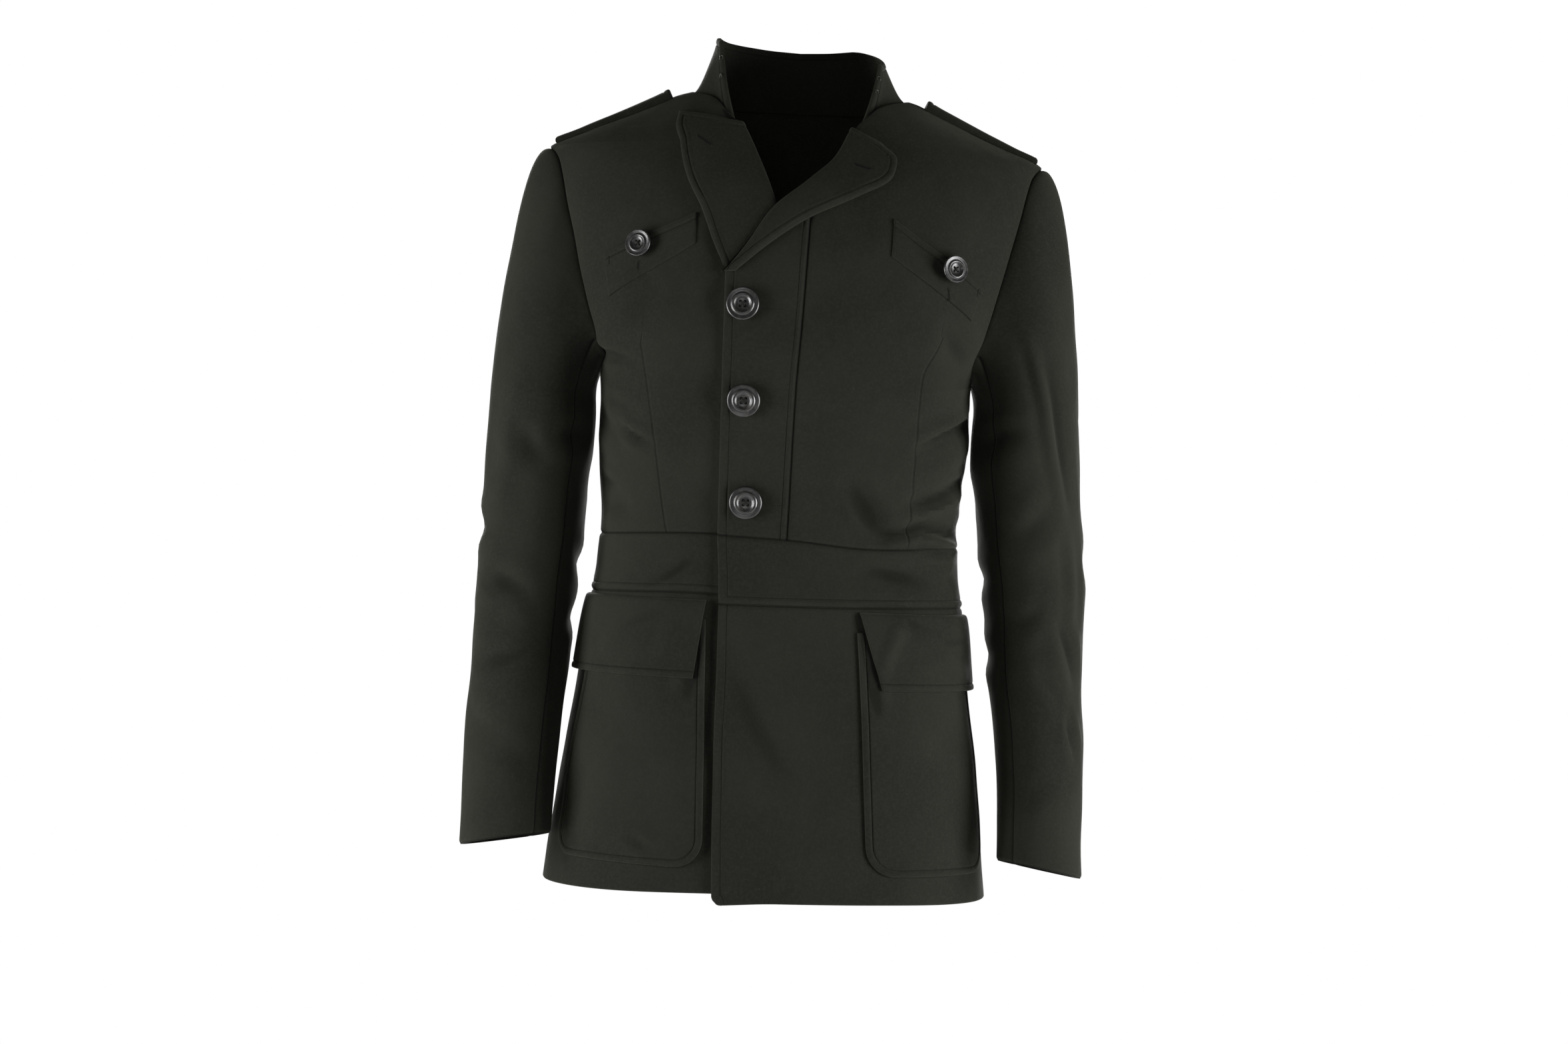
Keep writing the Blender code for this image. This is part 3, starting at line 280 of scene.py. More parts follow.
# Smaller creases over the folds of the solids
CREASES = table_of(
    Crease,
    (-79, -243, -54, -251, 4.5, 3.0, -2), (-66, -303, -48, -326, 4.2, 3.8, 2),
    (-74, -284, -54, -300, 6.5, 2.4, -3), (-52, -449, -31, -414, 6.5, 3.4, 3),
    (-82, -352, -66, -361, 5.0, 1.9, 2), (-78, -386, -58, -380, 6.0, 1.5, -3),
    (48, -321, 84, -290, 4.8, 4.2, -3), (46, -369, 84, -340, 5.2, 4.4, 3), (40, -392, 60, -383, 4.6, 3.8, 3),
    (50, -386, 84, -396, 5.0, 4.6, -2), (55, -406, 78, -408, 3.6, 3.4, 1), (30, -424, 66, -436, 9.0, 3.6, 2),
    (24, -340, 46, -402, 13.0, 3.0, 4), (90, -268, 90, -345, 24.0, -1.8, 0),
    (-90, -285, -90, -405, 24.0, -2.2, 0), (70, -332, 88, -322, 5.5, 2.0, 3),
    (29, -346, 46, -400, 9.0, 1.5, 4), (36, -423, 56, -430, 4.5, 1.4, 2), (66, -436, 84, -428, 5.0, 1.5, -2),
    (-19, -498, 14, -628, 15.0, 3.6, 8), (-30, -530, -12, -660, 18.0, 1.4, -6),
    (-45, -664, -36, -675, 4.0, 1.7, 1), (24, -560, 16, -700, 14.0, 1.5, 5),
    (60, -560, 68, -690, 16.0, 1.5, 5), (-64, -570, -70, -700, 15.0, 1.4, -4),
    (44, -120, 56, -175, 12.0, 2.2, 4), (-46, -178, -60, -230, 12.0, 2.2, -4),
    (52, -205, 70, -246, 10.0, 3.0, 4), (-74, -262, -58, -272, 5.0, 1.4, 2),
    (96, -300, 118, -322, 7.0, 2.4, -4), (94, -352, 124, -368, 6.0, 2.7, 4),
    (98, -392, 132, -386, 6.5, 2.0, -3), (128, -330, 150, -352, 9.0, 1.7, 5),
    (-95, -305, -120, -330, 8.0, 2.2, 4), (-94, -362, -128, -371, 6.0, 2.5, -4),
    (-98, -398, -134, -392, 5.5, 1.9, 3), (-140, -338, -158, -360, 9.0, 1.5, -4),
    (150, -70, 146, -190, 20.0, 2.2, 8), (-149, -66, -143, -180, 18.0, 2.0, -7),
    (112, -470, 120, -640, 16.0, 2.0, -6), (-110, -474, -116, -650, 15.0, 1.9, 5),
    (166, -520, 172, -700, 20.0, 1.9, 6), (-164, -540, -171, -705, 18.0, 1.7, -5),
)

# Creases of the sleeves: the angle is the turn round the arm, 0 outside, 90 in front, 180 at the body
SLEEVE_RADIUS = 58.0
SLEEVE_CREASES_RIGHT = table_of(
    Crease,
    (180, -268, 180, -350, 30.0, -1.6, 0), (-30, -402, 75, -390, 10.0, 3.2, 6),
    (20, -448, 118, -470, 9.0, 3.6, -7), (30, -523, 120, -506, 8.0, 3.6, 5),
    (60, -302, 122, -352, 10.0, 2.5, 7), (95, -330, 172, -318, 9.0, 2.5, -5),
    (70, -250, 60, -420, 13.0, -2.4, 8), (28, -330, 34, -560, 15.0, -2.0, -9),
    (-60, -470, 10, -492, 11.0, 2.4, 6), (-110, -440, -40, -428, 9.0, 3.1, 5),
    (-120, -380, -52, -398, 11.0, 2.7, -6), (-96, -520, -28, -505, 9.0, 2.2, 5),
    (15, -560, 92, -585, 12.0, 1.9, 7), (78, -600, 128, -618, 9.0, 1.7, -4),
    (150, -420, 235, -440, 9.0, 2.7, 5), (150, -492, 228, -478, 9.0, 2.4, -5),
    (182, -352, 250, -360, 9.0, 2.4, 4),
)
SLEEVE_CREASES_LEFT = table_of(
    Crease,
    (180, -268, 180, -350, 30.0, -1.6, 0), (84, -206, 52, -378, 6.0, -3.6, -3),
    (70, -226, 38, -386, 9.0, 2.4, -3), (52, -378, 50, -474, 7.0, -2.2, 3), (72, -462, 36, -520, 7.5, 4.2, 3),
    (60, -545, 38, -584, 6.5, 3.4, -2), (98, -506, 62, -536, 9.0, 2.2, 3),
    (62, -356, 128, -398, 10.0, 2.7, 7), (80, -300, 170, -322, 9.0, 2.5, -6),
    (85, -452, 134, -470, 8.0, 2.4, 5), (-60, -420, 25, -402, 11.0, 2.4, 7),
    (-112, -452, -36, -436, 9.0, 3.1, -6), (-118, -392, -50, -410, 11.0, 2.5, 6),
    (-98, -528, -20, -548, 10.0, 2.2, 5), (70, -608, 126, -628, 9.0, 1.9, -5),
    (150, -428, 236, -446, 9.0, 2.7, -5), (150, -500, 230, -486, 9.0, 2.4, 5),
    (180, -350, 252, -362, 9.0, 2.4, 4),
)
FLAP_CREASES = table_of(
    Crease,
    (49, -466, 38, -526, 6.5, -2.6, 1), (50, -474, 64, -492, 6.0, -2.2, 1),
    (60, -496, 76, -520, 8.0, -1.8, 2), (-34, -472, -44, -522, 8.0, -1.5, 3),
    (-54, -480, -68, -514, 9.0, -1.6, -2),
)
# Painted shade of hollows, with a faint painted highlight on the ridges beside them: they change only the
# tone of the wool, and don't move it
FLAP_PAINTED_SHADE = table_of(
    Crease,
    (44, -462, 65, -492, 6.0, 3.2, 0), (58, -489, 82, -486, 5.0, 2.6, 0), (-40, -464, -62, -496, 7.0, 2.2, 0),
)
# Painted shade beside the inner ends of the pocket flaps, where the photo has dark openings, with a faint
# painted highlight on the ridges beside it
POCKET_PAINTED_SHADE = table_of(
    Crease,
    (33.0, -436, 38.8, -560, 5.5, 14.0, 0), (-28.4, -430, -31.2, -550, 6.5, 14.0, 0),
)
LAPEL_CREASES = table_of(Crease, (20, -112, 34, -84, 9.0, -1.0, 2), (-34, -140, -40, -70, 10.0, -0.8, -3))

# The unevenness of worn cloth, as waves that run in a direction
Wave = namedtuple("Wave", "x y z length start height")
RIPPLES = table_of(
    Wave,
    (0.8, 0.3, 0.52, 61.0, 0.4, 0.16), (-0.5, 0.6, 0.62, 47.0, 1.7, 0.13), (0.2, 0.7, -0.68, 35.0, 2.6, 0.10),
    (0.6, -0.4, 0.69, 88.0, 4.1, 0.20),
)

# Darts of the fronts, from the chest to the waistband
DART_RIGHT = table_of(Across, (-128, -235), (-116, -300), (-102, -382), (-98, -402))
DART_LEFT = table_of(Across, (136, -220), (119, -258), (117, -298), (113, -400))

# Each sheet's cut: the rectangle round it in mm, and its own area in square cm
Cut = namedtuple("Cut", "width length area held", defaults=["stretched"])

BAND_RISE = 0.5  # how far the waistband stands out
CHEST_FLAP_WALL = 1.4
STRAP_DROOP = 1.8  # how far a strap's long edges come down
CORNER_RADIUS = 9.0  # of the left skirt's lower front corner
CORNER_PULL = 3.0
SLEEVE_TURN_RINGS = 1.0  # rings over which a sleeve's normal leaves the torso's
HEAD_FULLNESS = 1.1  # height of the swellings at a sleeve's head
HEAD_TURN = 70  # degrees from the shoulder point over which they fade
HEAD_RING = 1.6  # ring at their middle, and rings over which they fade
HEAD_RINGS = 1.3
HEAD_UNEVEN = 0.4
HEAD_WAVES = [(7.3, 0.8, 1.0), (12.1, 2.0, 0.6)]  # waves round the arm, their start and share
COLLAR_BOW = 1.2
COLLAR_SEAT = -0.6
ROLL_COLUMNS = 9
ROLL_RADIUS = 2.75  # half the height from a lapel's face to the back of the front it folds from
ROLL_START_RADIUS = 0.5
ROLL_RIGHT_OPENS = 0.42  # share of the right lapel's length at which its roll starts to open
ROLL_FADE = 0.2  # share of a lapel's length over which its roll opens
ROLL_FILL = 0.9  # share of the roll's radius that its cloth may take

# Distances from an edge at which a net has more points, near the edge or round a kind of stitched line
EDGE_LINES = [0.3, 0.8, 1.4, 2.4, 4.0]
STITCH_LINES = [6.8, 7.5, 8.0, 8.5, 9.2]
SMALL_LINES = [4.9, 5.5, 6.0, 6.5, 7.1]
BAND_LINES = [5.9, 6.5, 7.0, 7.5, 8.1]
CENTRE_LINES = [0.3, 0.8, 1.4, 2.4, 4.1, 5.0, 5.5, 6.0, 6.9]
SEWN_LINES = EDGE_LINES + SMALL_LINES

THREAD_RADIUS = 0.42  # on the buttons
THREAD_ASIDE = 0.022  # of each strand from the middle of its hole, as a share of the button's radius
THREAD_PATH = [(1.0, 0.02), (0.98, 0.20), (0.7, 0.235)]  # share of the way out to a hole, and height

# Stitches: pitch along a line, and length, width and height of one. Whipped ones edge a buttonhole.
STITCH_PITCH = 3.2
STITCH_SIZE = 2.5, 0.5, 0.4
WHIP_PITCH = 0.75
WHIP_OUT = 0.8
WHIP_SIZE = 1.5, 0.55, 0.4
WHIP_SLANT = 0.25
SLIT_SIZE = WHIP_PITCH * 2.4, 0.8, 0.3
TACK_SIZE = 1.8, 0.7, 0.6

# Lines of small sewing on the front of a node, from and to an x and z
Seam = namedtuple("Seam", "node start end")
BUTTONHOLES = table_of(
    Seam,
    ("overlap_left", (-24, -203), (-5, -203)), ("overlap_left", (-19, -285), (0, -285)),
    ("overlap_left", (-14, -373), (5, -373)), ("lapel_right", (-88, -52), (-74, -61)),
    ("lapel_left", (51, -73), (66, -77)), ("chest_flap_right", (-133, -165), (-133, -173)),
    ("chest_flap_left", (138, -176), (139, -188)),
)
BAR_TACKS = table_of(
    Seam,
    ("overlap_left", (3.5, -285), (3.0, -294)), ("chest_flap_right", (-160, -161), (-159, -168)),
    ("chest_flap_left", (165, -174), (164, -181)),
)
# x, y and z of each hook, and the side that it opens to
COLLAR_HOOKS = [(-75, -45, 28, -1), (-72, -44, 10, -1), (74, -44, 16, 1), (72, -46, 2, 1)]
# A hook's wire before scaling, as places aside and up
HOOK_BEND = [(0, -3.0), (0.4, 0), (2.2, 1.6), (4.2, 0), (4.6, -3.0), (4.2, 0.4), (5.6, 2.4)]
HOOK_SCALE = 0.75
HOOK_MIDDLE = 2.2
HOOK_LIFT = 0.7
HOOK_RADIUS = 0.35
# A button's turned face and back: radius and height of each ring, as shares of the button's radius
BUTTON_DETAIL = 64
BUTTON_SHAPE = [
    (0.80, 0.0), (0.90, 0.02), (0.97, 0.08), (1.0, 0.15), (0.995, 0.21), (0.965, 0.26), (0.92, 0.285),
    (0.87, 0.28), (0.80, 0.262), (0.74, 0.25), (0.70, 0.25), (0.675, 0.27), (0.64, 0.305), (0.60, 0.32),
    (0.56, 0.322), (0.52, 0.31), (0.48, 0.28), (0.43, 0.235), (0.36, 0.205), (0.26, 0.192), (0.14, 0.186),
]

# Colours, finish and light
TWILL_PITCH = 1.3
WOOL_DARK = 0.0080, 0.0085, 0.0062, 1
WOOL_LIGHT = 0.0118, 0.0123, 0.0094, 1
# nap flecks, and also the painted highlight that lightens crease ridges
WOOL_FLECK_AND_HIGHLIGHT = 0.0175, 0.0180, 0.0142, 1
WOOL_LINT = 0.060, 0.061, 0.050, 1
# painted shade: the near-black that darkens crease troughs, seam valleys, darts and stitched grooves
WOOL_PAINTED_SHADE = 0.0030, 0.0031, 0.0025, 1
# Tones laid over the wool in this order: what each follows, and its share at the start and end of a range
# Nap and lint are the cloth's own flecks; the fold, seam, dart and stitch tones are painted shade in crease
# troughs, seam valleys, darts and stitched grooves, and the second fold tone a painted highlight on crease
# ridges
Tone = namedtuple("Tone", "follows start end first last colour")
WOOL_TONES = table_of(
    Tone,
    ("nap", 0.35, 0.75, 0.0, 0.35, WOOL_FLECK_AND_HIGHLIGHT), ("lint", 0.72, 0.80, 0.0, 0.25, WOOL_LINT),
    ("fold", -4.5, -0.6, 0.6, 0.0, WOOL_PAINTED_SHADE), ("fold", 0.6, 3.5, 0.0, 0.3, WOOL_FLECK_AND_HIGHLIGHT),
    ("seam", 0.3, 1.7, 0.75, 0.0, WOOL_PAINTED_SHADE), ("dart", 0.2, 1.6, 0.3, 0.0, WOOL_PAINTED_SHADE),
    ("stitch", 0.1, 0.9, 0.45, 0.0, WOOL_PAINTED_SHADE),
)
TWILL_SLOPE = 1.6
# Noises of the wool, each with its scale and detail
BROAD_NOISE = 9.0, 4.0
NAP_NOISE = 420.0, 3.0
LINT_NOISE = 900.0, 1.0
PUCKER_NOISE = 150.0, 1.0
WAVE_NOISE = 22.0, 2.0
# Heights of its relief, in metres
PUCKER_HEIGHT = 0.0007
DART_GROOVE = 0.0005
STITCH_GROOVE = 0.0003
TWILL_HEIGHT = 0.00004
NAP_HEIGHT = 0.00012
WAVE_HEIGHT = 0.0022
WOOL_SPECULAR = 0.06
SHEEN = 0.06
SHEEN_TINT = 0.62, 0.64, 0.50, 1
HORN_DARK = 0.0035, 0.0035, 0.0032, 1
HORN_VEIN = 0.016, 0.014, 0.011, 1
THREAD_COLOUR = 0.0100, 0.0105, 0.0082
# painted shade inside the buttonhole slits
SLIT_SHADE_COLOUR = 0.003, 0.003, 0.003
HOOK_COLOUR = 0.10, 0.10, 0.09
BACKGROUND_LIGHT = 1.0
ROOM_LIGHT = 0.17
FLOOR_Z = -1.36
FLOOR_SIZE = 4.8
FLOOR_DARK = 0.93, 0.93, 0.93, 1
FLOOR_LIGHT = 0.96, 0.96, 0.96, 1
CAMERA_LENS = 70.8
CAMERA_AT = 0.004, -2.8, -0.387
CAMERA_ROLL = -2.6
LIGHTS_AIM = 0, 0, -0.4
LIGHTS = [
    ("light_left", (-1.3, -0.58, -0.45), (0.5, 1.0), 33),
    ("light_right", (1.3, -0.60, -0.45), (0.5, 1.0), 36),
    ("light_key", (-0.3, -3.1, -0.1), (0.7, 0.7), 9),
    ("light_back_left", (-0.6, 2.5, 0.3), (1.0, 1.0), 80),
    ("light_back_right", (0.7, 2.5, -0.3), (1.0, 1.0), 60),
]


# ---- the torso surface, for arrays of angles and heights ----


class Curve:
    """A smooth line through pairs of (place, value) that doesn't overshoot them."""

    def __init__(self, pairs):
        self.at, self.value = np.array(sorted(pairs), float).T
        rise = np.diff(self.value) / np.diff(self.at)
        before, after = rise[:-1], rise[1:]
        total = np.where(before * after > 0, before + after, 1)
        middle = np.where(before * after > 0, 2 * before * after / total, 0)
        self.slope = np.concatenate([rise[:1], middle, rise[-1:]])

    def __call__(self, place):
        place = np.asarray(place, float)
        at, value, slope = self.at, self.value, self.slope
        i = np.clip(np.searchsorted(at, place, side="right") - 1, 0, len(at) - 2)
        step = at[i + 1] - at[i]
        t = (place - at[i]) / step
        start = (1 + 2 * t) * (1 - t) ** 2 * value[i] + t * (1 - t) ** 2 * step * slope[i]
        end = t * t * (3 - 2 * t) * value[i + 1] - t * t * (1 - t) * step * slope[i + 1]
        low = value[0] + slope[0] * (place - at[0])
        high = value[-1] + slope[-1] * (place - at[-1])
        return np.where(place <= at[0], low, np.where(place >= at[-1], high, start + end))


def columns(table, key):
    """One Curve for each column of a table, against its key column."""
    names = [name for name in table[0]._fields if name != key]
    return {name: Curve([(getattr(row, key), getattr(row, name)) for row in table]) for name in names}


torso = columns(TORSO, "z")
armhole = columns(ARMHOLE, "turn")
neckline = columns(NECKLINE, "share")
arms = columns(ARMS, "z")
collar_top = columns(COLLAR_TOP, "share")


def ease(share):
    share = np.clip(share, 0, 1)
    return share * share * (3 - 2 * share)


def blend(a, b, share):
    return a + (b - a) * share


def unit(vectors):
    return vectors / np.maximum(np.linalg.norm(vectors, axis=-1, keepdims=True), 1e-9)


def creases(angle, z, table, radius):
    """How far a table of creases pushes the cloth out or in. angle is round a tube of this radius."""
    moved = np.zeros(np.broadcast(angle, z).shape)
    for fold in table:
        along_x = radians(fold.end_angle - fold.start_angle) * radius
        along_z = fold.end_z - fold.start_z
        length = hypot(along_x, along_z)
        from_x = ((angle - radians(fold.start_angle) + pi) % (2 * pi) - pi) * radius
        from_z = z - fold.start_z
        share = (from_x * along_x + from_z * along_z) / length**2
        aside = (from_x * along_z - from_z * along_x) / length
        aside = np.abs(aside - fold.bow * 4 * share * (1 - share)) / fold.half_width
        across = np.exp(-(aside**2)) - FOLD_RIDGE * np.exp(-((aside - 2) ** 2))
        on_it = (share > 0) & (share < 1) & (aside < FOLD_REACH)
        moved -= np.where(on_it, fold.depth * np.sin(pi * share) * across, 0)
    return moved


def torso_point(angle, z):
    soft = SHOULDER_SOFTNESS * np.abs(np.cos(angle))
    heights = [np.minimum(TORSO[0].z, z + soft * share) for share in (-1, -0.5, 0, 0.5, 1)]
    width = sum(torso["half_width"](height) for height in heights) / len(heights)
    depth = np.where(np.cos(angle) > 0, torso["front"](z), torso["back"](z))
    square = torso["square"](z)
    across = np.abs(np.sin(angle) / width) ** square
    along = np.abs(np.cos(angle) / depth) ** square
    reach = (across + along) ** (-1 / square) + creases(angle, z, FOLDS, FOLD_RADIUS)
    return np.stack([reach * np.sin(angle), -reach * np.cos(angle), z + 0 * reach], -1)


def torso_normal(angle, z):
    turn, rise = 0.01, 1.0
    round_it = torso_point(angle + turn, z) - torso_point(angle - turn, z)
    up_it = torso_point(angle, z + rise) - torso_point(angle, z - rise)
    return unit(np.cross(round_it, up_it))


def on_torso(places, offset=0.0):
    angle, z = places[..., 0], places[..., 1]
    return torso_point(angle, z) + torso_normal(angle, z) * np.asarray(offset)[..., None]


def place(angle, z):
    angle, z = np.broadcast_arrays(np.asarray(angle, float), np.asarray(z, float))
    return np.stack([angle, z], -1)


def at_x(x, z):
    """Places on the front of the torso with this x and height."""
    x, z = np.broadcast_arrays(np.asarray(x, float), np.asarray(z, float))
    square = torso["square"](z)
    share = np.minimum(0.999, np.abs(x) / torso["half_width"](z))
    y = torso["front"](z) * (1 - share**square) ** (1 / square)
    return place(np.arctan2(x, y), z)


def level_of(line, x):
    return Curve([(point.x, point.z) for point in line])(x)


def edge_left_x(z):
    return Curve([(point.z, point.x) for point in EDGE_LEFT])(z)


def lap(places):
    """Offset of the right front: it dips where the left front covers it."""
    x = torso_point(places[..., 0], places[..., 1])[..., 0]
    return -LAP_DROP * ease((x - edge_left_x(places[..., 1]) + LAP_FADE) / LAP_FADE)


def flat(places):
    return np.zeros(places.shape[:-1])


# ---- lines and nets on the torso ----


def spread(function, count, skip_first=False):
    """function(0..1) at even shares, DENSE for each row or column that the solids have."""
    shares = np.linspace(0, 1, count * DENSE + 1)
    return function(shares[1:] if skip_first else shares)


def between(start, end, count):
    shares = np.linspace(0, 1, count * DENSE + 1)[:, None]
    return blend(np.asarray(start)[None], np.asarray(end)[None], shares)


def line_places(line):
    """A function of 0..1 along a table of x and z, by length."""
    lengths = [0.0]
    for a, b in zip(line, line[1:]):
        lengths.append(lengths[-1] + hypot(b.x - a.x, b.z - a.z))
    to_x = Curve([(length, point.x) for length, point in zip(lengths, line)])
    to_z = Curve([(length, point.z) for length, point in zip(lengths, line)])
    return lambda share: at_x(to_x(share * lengths[-1]), to_z(share * lengths[-1]))


def cross_seam(line, start, end):
    """A function of 0..1 between two places, at the height that a crossing seam has there."""

    def read(share):
        places = blend(np.asarray(start)[None], np.asarray(end)[None], share[:, None])
        x = torso_point(places[:, 0], places[:, 1])[:, 0]
        return place(places[:, 0], level_of(line, x))

    return read


def shift(places, across, up):
    reach = np.linalg.norm(torso_point(places[..., 0], places[..., 1])[..., :2], axis=-1)
    return place(places[..., 0] + across / reach, places[..., 1] + up)


def armhole_place(side, turn, away=0.0):
    """Places on the armhole, moved this far from its middle along the cloth."""
    turn = np.asarray(turn, float) % 360
    back, on = (turn - 1) % 360, (turn + 1) % 360
    reach = torso["half_width"](armhole["z"](back))
    run_x = np.radians(armhole["angle"](on) - armhole["angle"](back)) * reach
    run_z = armhole["z"](on) - armhole["z"](back)
    length = np.hypot(run_x, run_z)
    angle = np.radians(armhole["angle"](turn)) + run_z / length * away / reach
    return place(side * angle, armhole["z"](turn) - run_x / length * away)


def neck_place(side, share):
    return place(side * np.radians(neckline["angle"](share)), neckline["z"](share))


def coons(foot, head, start, end, across=None, up=None):
    """A net of places between four edges, in rows from foot to head, read at these shares."""
    across = np.linspace(0, 1, len(foot)) if across is None else across
    up = np.linspace(0, 1, len(start)) if up is None else up
    low, high = at_shares(foot, across)[None], at_shares(head, across)[None]
    first, last = at_shares(start, up)[:, None], at_shares(end, up)[:, None]
    u, v = across[None, :, None], up[:, None, None]
    corners = (1 - u) * (1 - v) * low[:, :1] + u * (1 - v) * low[:, -1:]
    corners = corners + (1 - u) * v * high[:, :1] + u * v * high[:, -1:]
    return (1 - v) * low + v * high + (1 - u) * first + u * last - corners


def at_shares(edge, shares):
    own = np.linspace(0, 1, len(edge))
    return np.stack([np.interp(shares, own, edge[:, k]) for k in range(edge.shape[1])], -1)


def shares(count, length, start=(), end=()):
    """Even shares, and more at these distances from the start and the end of this rough length, all in mm."""
    even = np.linspace(0, 1, count * DENSE + 1)
    near = [d / length for d in start if d < length / 3] + [1 - d / length for d in end if d < length / 3]
    spare = 0.4 / (count * DENSE)
    kept = [s for s in even if s in (0, 1) or all(abs(s - n) > spare for n in near)]
    return np.array(sorted(kept + near))


def trimmed(net, left=0.0, right=0.0, foot=0.0, top=0.0):
    """The net with its edges drawn in, for the gaps at seams."""
    done = net.copy()
    done[:, 0] = shift(done[:, 0], left, 0)
    done[:, -1] = shift(done[:, -1], -right, 0)
    done[0] = shift(done[0], 0, foot)
    done[-1] = shift(done[-1], 0, -top)
    return done


# ---- cloth with finished edges ----

Side = namedtuple("Side", "kind inset")
SEAM = Side(kind="seam", inset=0)
FREE = Side(kind="free", inset=0)
STITCHED = Side(kind="free", inset=8.0)
SMALL_STITCHED = Side(kind="free", inset=6.0)
BAND_STITCHED = Side(kind="seam", inset=7.0)
CENTRE_STITCHED = Side(kind="seam", inset=5.5)
SEAM_DEPTH = 1.3
SEAM_WIDTH = 1.7
ROUNDING = 1.3  # radius of a free edge
GROOVE_DEPTH = 0.55  # along a stitched line
GROOVE_WIDTH = 0.9
PUFF = 0.55  # how far the cloth swells between a stitched line and its edge
FAR = 20.0  # a distance from stitches, darts and seams at which they no longer show

skins = {}  # a tree of each node's outer face, to lay small things on
stitch_paths = []


def line_distance(points, line):
    """The distance of each point from a line of points."""
    flat_points = points.reshape(-1, 3)
    best = np.full(len(flat_points), 1e9)
    for a, b in zip(line[:-1], line[1:]):
        run = b - a
        along = np.clip((flat_points - a) @ run / max(run @ run, 1e-9), 0, 1)
        best = np.minimum(best, np.linalg.norm(flat_points - a - along[:, None] * run, axis=1))
    return best.reshape(points.shape[:-1])


def rim(net, side):
    """The points of one side of a net, and those one step inside it."""
    if side == "left":
        return net[:, 0], net[:, 1]
    if side == "right":
        return net[:, -1], net[:, -2]
    return (net[0], net[1]) if side == "foot" else (net[-1], net[-2])


def lowered(skin, sides):
    """How far the outer face lies below the skin, and each point's distance from stitched lines and seams."""
    down = np.zeros(skin.shape[:-1])
    free, band = np.full(down.shape, 1e9), np.ones(down.shape)
    inside, seam = np.full(down.shape, FAR), np.full(down.shape, FAR)
    for side, made in sides.items():
        distance = line_distance(skin, rim(skin, side)[0])
        if made.kind == "seam":
            down += SEAM_DEPTH * np.exp(-((distance / SEAM_WIDTH) ** 2))
            seam = np.minimum(seam, distance)
        else:
            free = np.minimum(free, distance)
        if made.inset:
            nearer = distance - made.inset < inside
            band = np.where(nearer, np.clip(distance / made.inset, 0, 1), band)
            inside = np.where(nearer, distance - made.inset, inside)
    left = np.clip(1 - free / ROUNDING, 0, 1)
    down += ROUNDING * (1 - np.sqrt(1 - left**2)) - PUFF * np.sin(pi * band)
    down += GROOVE_DEPTH * np.exp(-((inside / GROOVE_WIDTH) ** 2))
    return down, {"stitch": inside, "seam": seam}


def wall_faces(rows, across):
    layer = rows * across
    i, j = np.meshgrid(np.arange(rows - 1), np.arange(across - 1), indexing="ij")
    a = (i * across + j).ravel()
    sheet = np.stack([a, a + 1, a + across + 1, a + across], 1)
    ring = [(0, j) for j in range(across)] + [(i, across - 1) for i in range(1, rows)]
    ring += [(rows - 1, j) for j in range(across - 2, -1, -1)] + [(i, 0) for i in range(rows - 2, 0, -1)]
    edge = np.array([i * across + j for i, j in ring])
    after = np.roll(edge, -1)
    side = np.stack([edge, after, after + layer, edge + layer], 1)
    return np.concatenate([sheet[:, ::-1], sheet + layer, side])


def net_lengths(net):
    """Place along and up the cloth at each point of a net, in mm."""
    across = np.linalg.norm(np.diff(net, axis=1), axis=-1).mean(0)
    up = np.linalg.norm(np.diff(net, axis=0), axis=-1).mean(1)
    u, v = np.concatenate([[0], np.cumsum(across)]), np.concatenate([[0], np.cumsum(up)])
    return np.stack(np.broadcast_arrays(u[None, :], v[:, None]), -1)


def link(name, data):
    """An object with this data, in the scene."""
    obj = bpy.data.objects.new(name, data)
    bpy.context.scene.collection.objects.link(obj)
    return obj


def tube_faces(rings, sides, first=0):
    """Faces of a closed tube through rings of points, with its two ends last."""
    ids = first + np.arange(sides)
    after, faces = np.roll(ids, -1), []
    for step in range(0, (rings - 1) * sides, sides):
        low, high = [ids + step, after + step], [after + step + sides, ids + step + sides]
        faces += np.stack(low + high, 1).tolist()
    return faces + [ids[::-1].tolist(), (ids + (rings - 1) * sides).tolist()]


def add_mesh(name, points, faces, made_of, uv=None, fields=None, sharp=40):
    mesh = bpy.data.meshes.new(name)
    mesh.from_pydata((np.asarray(points) * MM).tolist(), [], [list(face) for face in faces])
    if uv is not None:
        loops = np.zeros(len(mesh.loops), np.int32)
        mesh.loops.foreach_get("vertex_index", loops)
        mesh.uv_layers.new(name="cloth").data.foreach_set("uv", uv[loops].ravel().astype(np.float32))
    for field, values in (fields or {}).items():
        values = np.ascontiguousarray(values, np.float32)
        mesh.attributes.new(field, "FLOAT", "POINT").data.foreach_set("value", values)
    work = bmesh.new()
    work.from_mesh(mesh)
    bmesh.ops.recalc_face_normals(work, faces=work.faces[:])
    work.to_mesh(mesh)
    work.free()
    mesh.shade_smooth()
    mesh.set_sharp_from_angle(angle=radians(sharp))
    mesh.materials.append(made_of)
    obj = link(name, mesh)
    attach(obj, "root")
    return obj


def ripples(points):
    """A faint unevenness that all worn cloth has."""
    moved = np.zeros(points.shape[:-1])
    for wave in RIPPLES:
        phase = points @ np.array([wave.x, wave.y, wave.z]) / wave.length * 2 * pi + wave.start
        moved += wave.height * np.sin(phase)
    return moved


